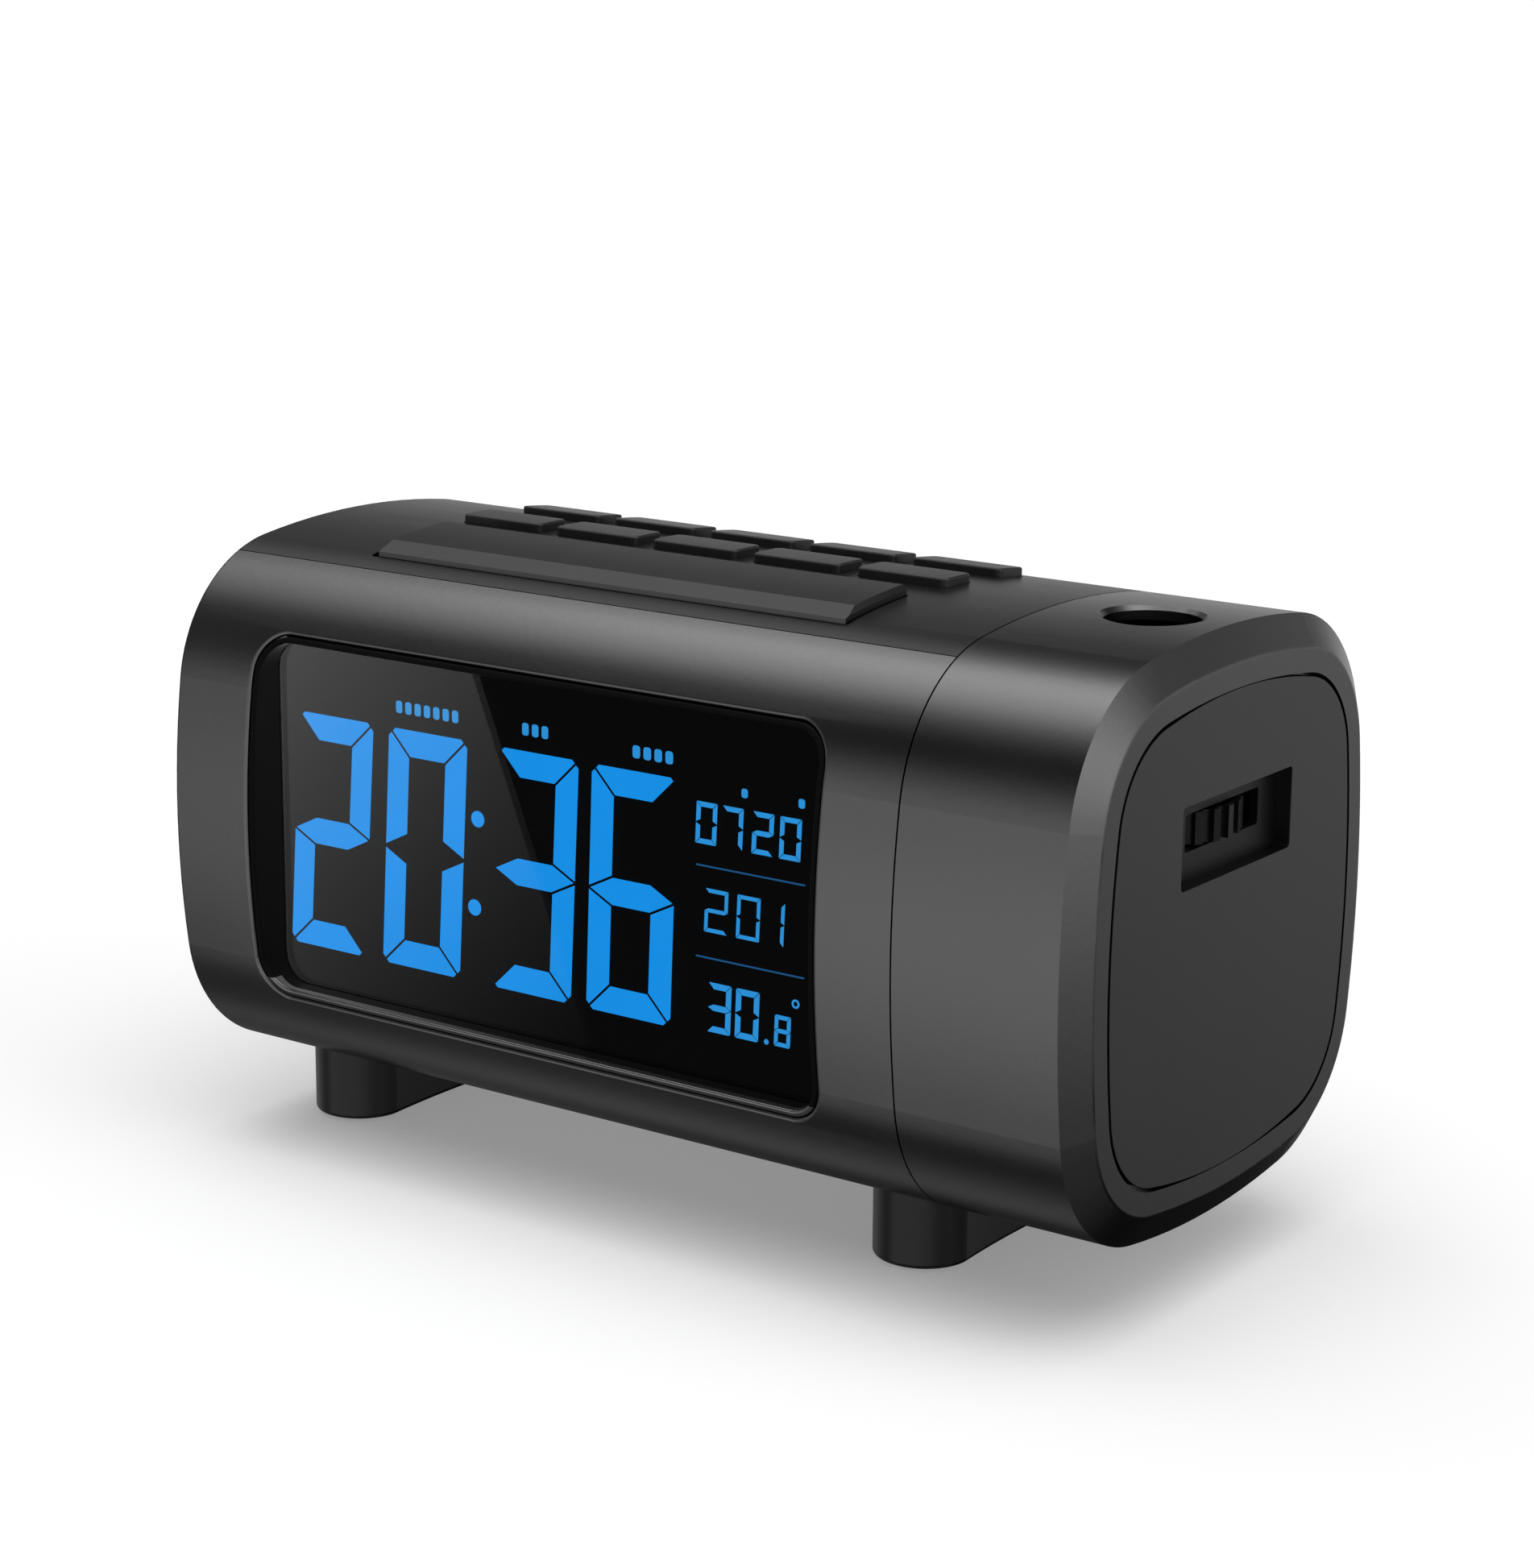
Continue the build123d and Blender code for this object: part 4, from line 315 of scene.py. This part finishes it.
FINISHES = {
    "casing_grey": lambda g: satin_paint(g, (0.118, 0.117, 0.119), 0.24),
    "cover_black": lambda g: satin_paint(g, (0.076, 0.076, 0.077), 0.32),
    "end_black": end_paint,
    "key_black": lambda g: moulded_plastic(g, (0.010, 0.010, 0.0103), 0.34, specular=0.35),
    "bezel_black": bezel_plastic,
    "window_dark": smoked_glass,
    "lcd_glass": display_glass,
    "inner_white": lambda g: moulded_plastic(g, (0.78, 0.78, 0.76), 0.5),
    "zebra_rubber": lambda g: rubber(g, (0.35, 0.18, 0.20), 0.6),
    "board_green": circuit_board,
    "switch_black": lambda g: moulded_plastic(g, (0.018, 0.018, 0.019), 0.45),
    "steel": lambda g: drawn_metal(g, (0.60, 0.60, 0.61), 0.34),
    "nickel": lambda g: drawn_metal(g, (0.70, 0.67, 0.61), 0.28),
    "cone_black": pressed_paper,
    "socket_black": lambda g: moulded_plastic(g, (0.015, 0.015, 0.016), 0.32),
    "foot_grey": lambda g: moulded_plastic(g, (0.002, 0.002, 0.0021), 0.24,
                                           depth=0.008 * MM, specular=0.3),
    "pad_rubber": rubber,
    "cable_black": lambda g: rubber(g, (0.018, 0.018, 0.019), 0.55),
    "sink_aluminium": lambda g: drawn_metal(g, (0.72, 0.72, 0.74), 0.38, (1.0, 1.0, 0.05)),
    "lens_glass": coated_lens,
    "wheel_black": lambda g: moulded_plastic(g, (0.003, 0.003, 0.0031), 0.26, specular=0.2),
    "lens_black": lambda g: moulded_plastic(g, (0.012, 0.012, 0.013), 0.42),
}
finishes = {slot: new_finish(slot, write) for slot, write in FINISHES.items()}
for part in frame["record"]["subparts"]:
    node = frame["nodes"][part["node"]]
    node.data.materials.clear()
    node.data.materials.append(finishes[part["material_slot"]])

# ------------------------------------------------------------- lit display

SEGMENT_Y = -38.53 * MM         # rear face of the segments, in the gap before the glass
SEGMENT_DEPTH = 0.05 * MM
AXIS_HEIGHT = 60.4              # of the body's axis: heights in the display count from it
GLOW_LEFT, GLOW_WIDTH = 0.6, 120 * MM       # what the lamp strip spans, about the middle
SEGMENTS = {"0": "abcdef", "1": "bc", "2": "abged", "3": "abgcd", "6": "afgedc", "7": "abc",
            "8": "abcdefg"}


def lit_segment(colour, spread):
    """Glow of a lit segment, weaker towards its far side from the lamp strip."""
    def write(graph):
        grain = graph.noise(0.9 * MM)
        across = graph.axis(graph.coords(), "X") / GLOW_WIDTH + GLOW_LEFT
        level = around(1.0 + spread * (0.5 - across), (0.06, grain))
        glow = graph.add("VectorMath", {"operation": "SCALE"}, {0: colour, "Scale": level})
        return {"Base Color": (0.004, 0.02, 0.05, 1), "Roughness": 0.6,
                "Emission Color": glow, "Emission Strength": 1.0}
    return write


BLUE_TIME = new_finish("segment_blue_hours", lit_segment((0.012, 0.55, 1.58), 0.06))
BLUE_SMALL = new_finish("segment_blue_small", lit_segment((0.045, 0.55, 1.35), 0.0))
BLUE_LINES = new_finish("segment_blue_lines", lit_segment((0.020, 0.16, 0.42), 0.0))


def deselect_objects():
    if bpy.context.object and bpy.context.object.mode != "OBJECT":
        bpy.ops.object.mode_set(mode="OBJECT")
    bpy.ops.object.select_all(action="DESELECT")


def pick(piece, kind, wanted):
    """Selects the vertices, edges or faces of the piece that wanted() accepts by place."""
    bpy.ops.mesh.select_all(action="DESELECT")
    bpy.ops.mesh.select_mode(type=kind)
    bpy.ops.object.mode_set(mode="OBJECT")
    mesh = piece.data
    if kind == "VERT":
        for vertex in mesh.vertices:
            vertex.select = wanted(vertex.co)
    elif kind == "EDGE":
        for edge in mesh.edges:
            first, second = (mesh.vertices[i].co for i in edge.vertices)
            edge.select = wanted((first + second) / 2)
    else:
        for face in mesh.polygons:
            face.select = wanted(face.center)
    bpy.ops.object.mode_set(mode="EDIT")


def flat_plane(width, height):
    """Flat rectangle round the origin, left in edit mode."""
    deselect_objects()
    bpy.ops.mesh.primitive_plane_add(size=1)
    piece = bpy.context.object
    bpy.ops.object.mode_set(mode="EDIT")
    bpy.ops.transform.resize(value=(width, height, 1))
    return piece


def raise_flat(piece, x, z, slant=0.0):
    """Gives a flat piece its thickness and stands it in the display, at (x, z) in mm."""
    bpy.ops.mesh.select_all(action="SELECT")
    bpy.ops.mesh.extrude_region_move(TRANSFORM_OT_translate={"value": (0, 0, SEGMENT_DEPTH)})
    bpy.ops.mesh.select_all(action="SELECT")
    bpy.ops.mesh.normals_make_consistent(inside=False)
    bpy.ops.object.mode_set(mode="OBJECT")
    lean = math.tan(math.radians(slant))
    piece.data.transform(Matrix(((1, lean, 0, x * MM),
                                 (0, 0, -1, SEGMENT_Y),
                                 (0, 1, 0, (z + AXIS_HEIGHT) * MM),
                                 (0, 0, 0, 1))))
    return piece


def digit(figure, x, z, width, height, stroke, gap, chamfer, slant):
    """A seven-segment digit with the segments of its figure. Sizes are in mm."""
    lit = SEGMENTS[figure]
    width, height, stroke, gap, chamfer = (v * MM for v in (width, height, stroke, gap, chamfer))
    inner = width / 2 - stroke / 2

    # Two frames, one over the other
    piece = flat_plane(width, height)
    bpy.ops.mesh.bisect(plane_co=(0, 0, 0), plane_no=(0, 1, 0))
    bpy.ops.mesh.select_all(action="SELECT")
    bpy.ops.mesh.inset(thickness=stroke, use_individual=True)
    bpy.ops.mesh.delete(type="ONLY_FACE")

    # Their shared bars become one segment with pointed ends
    pick(piece, "VERT", lambda p: abs(p.x) < inner and abs(abs(p.y) - stroke) < stroke / 4)
    bpy.ops.transform.resize(value=(1, 0.5, 1), center_override=(0, 0, 0))
    pick(piece, "EDGE", lambda p: abs(p.x) < stroke / 4 and abs(p.y) < stroke / 8)
    bpy.ops.mesh.dissolve_edges(use_verts=False)

    # Gaps between the segments
    bpy.ops.mesh.select_mode(type="FACE")
    bpy.ops.mesh.select_all(action="SELECT")
    bpy.ops.mesh.inset(thickness=gap / 2, use_individual=True)
    bpy.ops.mesh.select_all(action="INVERT")
    bpy.ops.mesh.delete(type="FACE")

    def unlit(p):
        if abs(p.x) < stroke / 2:
            name = "g" if abs(p.y) < stroke / 2 else "a" if p.y > 0 else "d"
        else:
            name = ("b" if p.y > 0 else "c") if p.x > 0 else ("f" if p.y > 0 else "e")
        return name not in lit

    pick(piece, "FACE", unlit)
    bpy.ops.mesh.delete(type="FACE")

    # The four outer corners are cut off
    for side in (-1, 1):
        for level in (-1, 1):
            bpy.ops.mesh.select_all(action="SELECT")
            bpy.ops.mesh.bisect(plane_co=(side * (width / 2 - chamfer), level * height / 2, 0),
                                plane_no=(side, level, 0), clear_outer=True)
    return raise_flat(piece, x, z, slant)


def bar(x, z, width, height):
    """Small lit bar with rounded corners."""
    piece = flat_plane(width * MM, height * MM)
    bpy.ops.mesh.bevel(offset=0.3 * min(width, height) * MM, segments=2, affect="VERTICES")
    return raise_flat(piece, x, z)


def disc(x, z, radius, hole=0.0):
    """Round lit dot, or a ring round a hole of that radius."""
    deselect_objects()
    bpy.ops.mesh.primitive_circle_add(vertices=32, radius=radius * MM, fill_type="NGON")
    piece = bpy.context.object
    bpy.ops.object.mode_set(mode="EDIT")
    if hole:
        bpy.ops.mesh.inset(thickness=(radius - hole) * MM)
        bpy.ops.mesh.delete(type="FACE")
    return raise_flat(piece, x, z)


def lit_piece(name, pieces, finish):
    """Joins the pieces of one field of the display."""
    deselect_objects()
    for piece in pieces:
        piece.select_set(True)
    bpy.context.view_layer.objects.active = pieces[0]
    if len(pieces) > 1:
        bpy.ops.object.join()
    joined = bpy.context.object
    joined.name = joined.data.name = name
    joined.data.materials.clear()
    joined.data.materials.append(finish)
    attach(joined, "main_body")


TIME_HEIGHT = -1.05
TIME = {"height": 41.9, "stroke": 5.0, "gap": 0.42, "chamfer": 1.8}
for name, figure, middle, width, slant in (("hour_tens", "2", -61.1, 17.4, 4.0),
                                           ("hour_units", "0", -40.2, 17.6, 3.2),
                                           ("minute_tens", "3", -16.35, 17.4, 2.7),
                                           ("minute_units", "6", 3.8, 17.7, 2.0)):
    lit_piece(name, [digit(figure, middle, TIME_HEIGHT, width=width, slant=slant, **TIME)],
              BLUE_TIME)
COLON_DOT = 1.4
lit_piece("colon", [disc(-28.4, 6.62, COLON_DOT), disc(-29.3, -8.76, COLON_DOT)], BLUE_TIME)

DATE = {"width": 4.2, "height": 7.0, "stroke": 0.95, "gap": 0.12, "chamfer": 0.3, "slant": 2.5}
DAY = {"width": 4.6, "height": 7.3, "stroke": 0.75, "gap": 0.10, "chamfer": 0.25, "slant": 2.5}
UNITS = {"width": 4.7, "height": 8.4, "stroke": 1.15, "gap": 0.12, "chamfer": 0.35, "slant": 2.0}
TENTHS = {"width": 3.2, "height": 5.3, "stroke": 0.8, "gap": 0.10, "chamfer": 0.3, "slant": 2.0}
lit_piece("date", [digit(figure, x, 13.3, **DATE)
                   for figure, x in (("0", 18.9), ("7", 24.0), ("2", 29.9), ("0", 35.2))],
          BLUE_SMALL)
lit_piece("day_number", [digit(figure, x, -0.9, **DAY)
                         for figure, x in (("2", 20.9), ("0", 27.2), ("1", 31.9))],
          BLUE_SMALL)
lit_piece("temperature", [digit("3", 21.6, -16.9, **UNITS),
                          digit("0", 27.1, -16.9, **UNITS),
                          digit("8", 34.0, -18.3, **TENTHS),
                          disc(30.9, -20.6, 0.45),
                          disc(36.5, -13.3, 0.75, hole=0.4)],
          BLUE_SMALL)

DIVIDER = {"width": 21.2, "height": 0.28}
lit_piece("dividers", [bar(27.5, z, **DIVIDER) for z in (6.3, -8.8)], BLUE_LINES)

# Rows of marks over the time: place of the first, pitch, count, height and width
MARK_ROWS = ((-45.35, 2.05, 7, 23.4, 1.35), (-18.0, 2.05, 3, 23.4, 1.35), (4.9, 2.2, 4, 22.9, 1.5))
marks = [bar(first + pitch * i, z, width, 2.1)
         for first, pitch, count, z, width in MARK_ROWS for i in range(count)]
marks += [bar(x, 19.3, 1.2, 1.5) for x in (26.35, 37.3)]
lit_piece("indicator_marks", marks, BLUE_SMALL)

# ------------------------------------------------------ floor and lights

FLOOR_SIZE = 40.0
FLOOR_COLOUR, FLOOR_GLOW = 0.47, 0.25
BACKDROP_RADIUS = 9.0
BACKDROP_GLOW = 1.05
LAMP_FROM = (0.10, -0.30, 1.0)
LAMP_STRENGTH = 2.4
LAMP_SPREAD = math.radians(60)


def hide_from(piece, *rays):
    for ray in rays:
        setattr(piece, "visible_" + ray, False)


def stage_finish(name, colour, glow):
    """Matt pale surface that also glows a little, so that its far part is white."""
    material, graph = new_material(name)
    lit = graph.add("BsdfDiffuse", None, {"Color": grey(colour)})
    own = graph.add("Emission", None, {"Color": grey(1.0), "Strength": glow})
    graph.add("OutputMaterial", None, {"Surface": graph.add("AddShader", None, {0: lit, 1: own})})
    return material


deselect_objects()
bpy.ops.mesh.primitive_plane_add(size=FLOOR_SIZE)
floor = bpy.context.object
floor.name = "floor"
floor.data.materials.append(stage_finish("floor_pale", FLOOR_COLOUR, FLOOR_GLOW))

bpy.ops.mesh.primitive_uv_sphere_add(segments=64, ring_count=32, radius=BACKDROP_RADIUS)
backdrop = bpy.context.object
backdrop.name = "backdrop"
backdrop.data.materials.append(stage_finish("backdrop_pale", 0.0, BACKDROP_GLOW))
for piece in (floor, backdrop):
    hide_from(piece, "diffuse", "glossy", "transmission", "shadow")

# Broad lamp from the front and above, which fills the floor before the object
lamp_data = bpy.data.lights.new("fill_lamp", "SUN")
lamp_data.energy = LAMP_STRENGTH
lamp_data.angle = LAMP_SPREAD
fill_lamp = bpy.data.objects.new("fill_lamp", lamp_data)
bpy.context.scene.collection.objects.link(fill_lamp)
fill_lamp.rotation_euler = Vector(LAMP_FROM).to_track_quat("Z", "Y").to_euler()
hide_from(fill_lamp, "glossy", "transmission")

# Card that the display window mirrors, just before the glass, in mm. It is pale left of a
# leaning edge, most at its top left corner, and dark elsewhere.
CARD_X, CARD_Z = (-72.2, 44.8), (31.2, 92.9)
CARD_Y = -40.25
CARD_WIDTH, CARD_HEIGHT = CARD_X[1] - CARD_X[0], CARD_Z[1] - CARD_Z[0]
EDGE_TOP, EDGE_LOW = (-28.72, 91.56), (-17.05, 63.04)
CARD_CORNER = 0.97
CARD_LOSS_ALONG, CARD_LOSS_DOWN = 0.74, 0.42
CARD_DARK = 0.04


def card_finish():
    material, graph = new_material("mirrored_card")
    coords = graph.coords()
    x, z = graph.axis(coords, "X"), graph.axis(coords, "Z")
    lean = (EDGE_LOW[0] - EDGE_TOP[0]) / (EDGE_TOP[1] - EDGE_LOW[1])
    pale = x < (EDGE_TOP[0] + lean * EDGE_TOP[1]) * MM - lean * z
    along = (x - CARD_X[0] * MM) / (CARD_WIDTH * MM)
    down = (CARD_Z[1] * MM - z) / (CARD_HEIGHT * MM)
    fade = (CARD_CORNER - CARD_LOSS_ALONG * along - CARD_LOSS_DOWN * down) ** 2
    glow = graph.add("Emission", None,
                     {"Color": grey(1.0), "Strength": pale * fade + CARD_DARK})
    graph.add("OutputMaterial", None, {"Surface": glow})
    return material


deselect_objects()
bpy.ops.mesh.primitive_plane_add(size=1)
card = bpy.context.object
card.name = "mirrored_card"
card.data.transform(Matrix(((CARD_WIDTH * MM, 0, 0, sum(CARD_X) / 2 * MM),
                            (0, 0, 1, CARD_Y * MM),
                            (0, CARD_HEIGHT * MM, 0, sum(CARD_Z) / 2 * MM),
                            (0, 0, 0, 1))))
card.data.materials.append(card_finish())
hide_from(card, "camera", "diffuse", "shadow")

# Studio: long strip lights along X, written as the brightness at each angle round that
# axis. 0 degrees is in front of the object, 90 overhead and -90 underneath.
STUDIO = ((-180, 0.66), (-171, 0.72), (-163, 0.50), (-157, 0.22), (-150, 0.02), (-125, 0.01),
          (-113, 0.14), (-103, 0.26), (-92, 0.24), (-78, 0.14), (-67, 0.06), (-56, 0.07),
          (-48, 0.32), (-36, 0.58), (-24, 0.96), (-14, 1.04), (4, 0.76), (20, 0.40),
          (28, 0.18), (37, 0.05), (47, 0.05), (56, 0.22), (64, 0.50), (72, 1.10),
          (80, 1.80), (98, 2.60), (108, 2.25), (119, 0.72), (130, 0.22), (148, 0.04),
          (162, 0.34), (180, 0.66))
PEAK = 2.6
FAR_START, FAR_SLOPE, FAR_OVERHEAD, FAR_LEAST = 0.58, 3, 4, 0.4     # fading to the left
REAR_START, REAR_SLOPE, REAR_RANGE = 0.56, 3.5, (0.8, 1.3)          # and behind the object
SIDE_LEVEL, SIDE_SLOPE, SIDE_LEAST = 1.25, 2.4, 0.05    # light from the right, by height
LEFT_LEVEL = 0.5                                        # least light from the left
SIDE_FOCUS = 4                                          # power that narrows both


def write_studio(world):
    world.use_nodes = True
    graph = Graph(world.node_tree)
    way = graph.add("TexCoord", None, None, "Generated")
    x, y, z = (graph.axis(way, name) for name in "XYZ")
    turn = z.angle(0 - y) / math.tau + 0.5
    stops = [((angle + 180) / 360, value / PEAK) for angle, value in STUDIO]
    strips = graph.add("ValToRGB", {"stops": stops}, {"Fac": turn}) * PEAK
    far = ((x + FAR_START) * (FAR_SLOPE + FAR_OVERHEAD * z.clamp(0, 1)) + 1).clamp(FAR_LEAST, 1)
    rear = (1 - (x + REAR_START) * REAR_SLOPE * y.clamp(0, 1) ** 2).clamp(*REAR_RANGE)
    right, left = x.clamp(0, 1) ** SIDE_FOCUS, (0 - x).clamp(0, 1) ** SIDE_FOCUS
    ahead = (strips * far * rear).clamp(left * LEFT_LEVEL, PEAK)
    beside = (z * SIDE_SLOPE + SIDE_LEVEL).clamp(SIDE_LEAST, PEAK)
    level = ahead * (1 - right) + right * beside
    sky = graph.add("Background", None, {"Color": grey(1.0), "Strength": level})
    graph.add("OutputWorld", None, {"Surface": sky})


studio = bpy.data.worlds.new("studio")
bpy.context.scene.world = studio
write_studio(studio)

# ------------------------------------------------------------ end

deselect_objects()
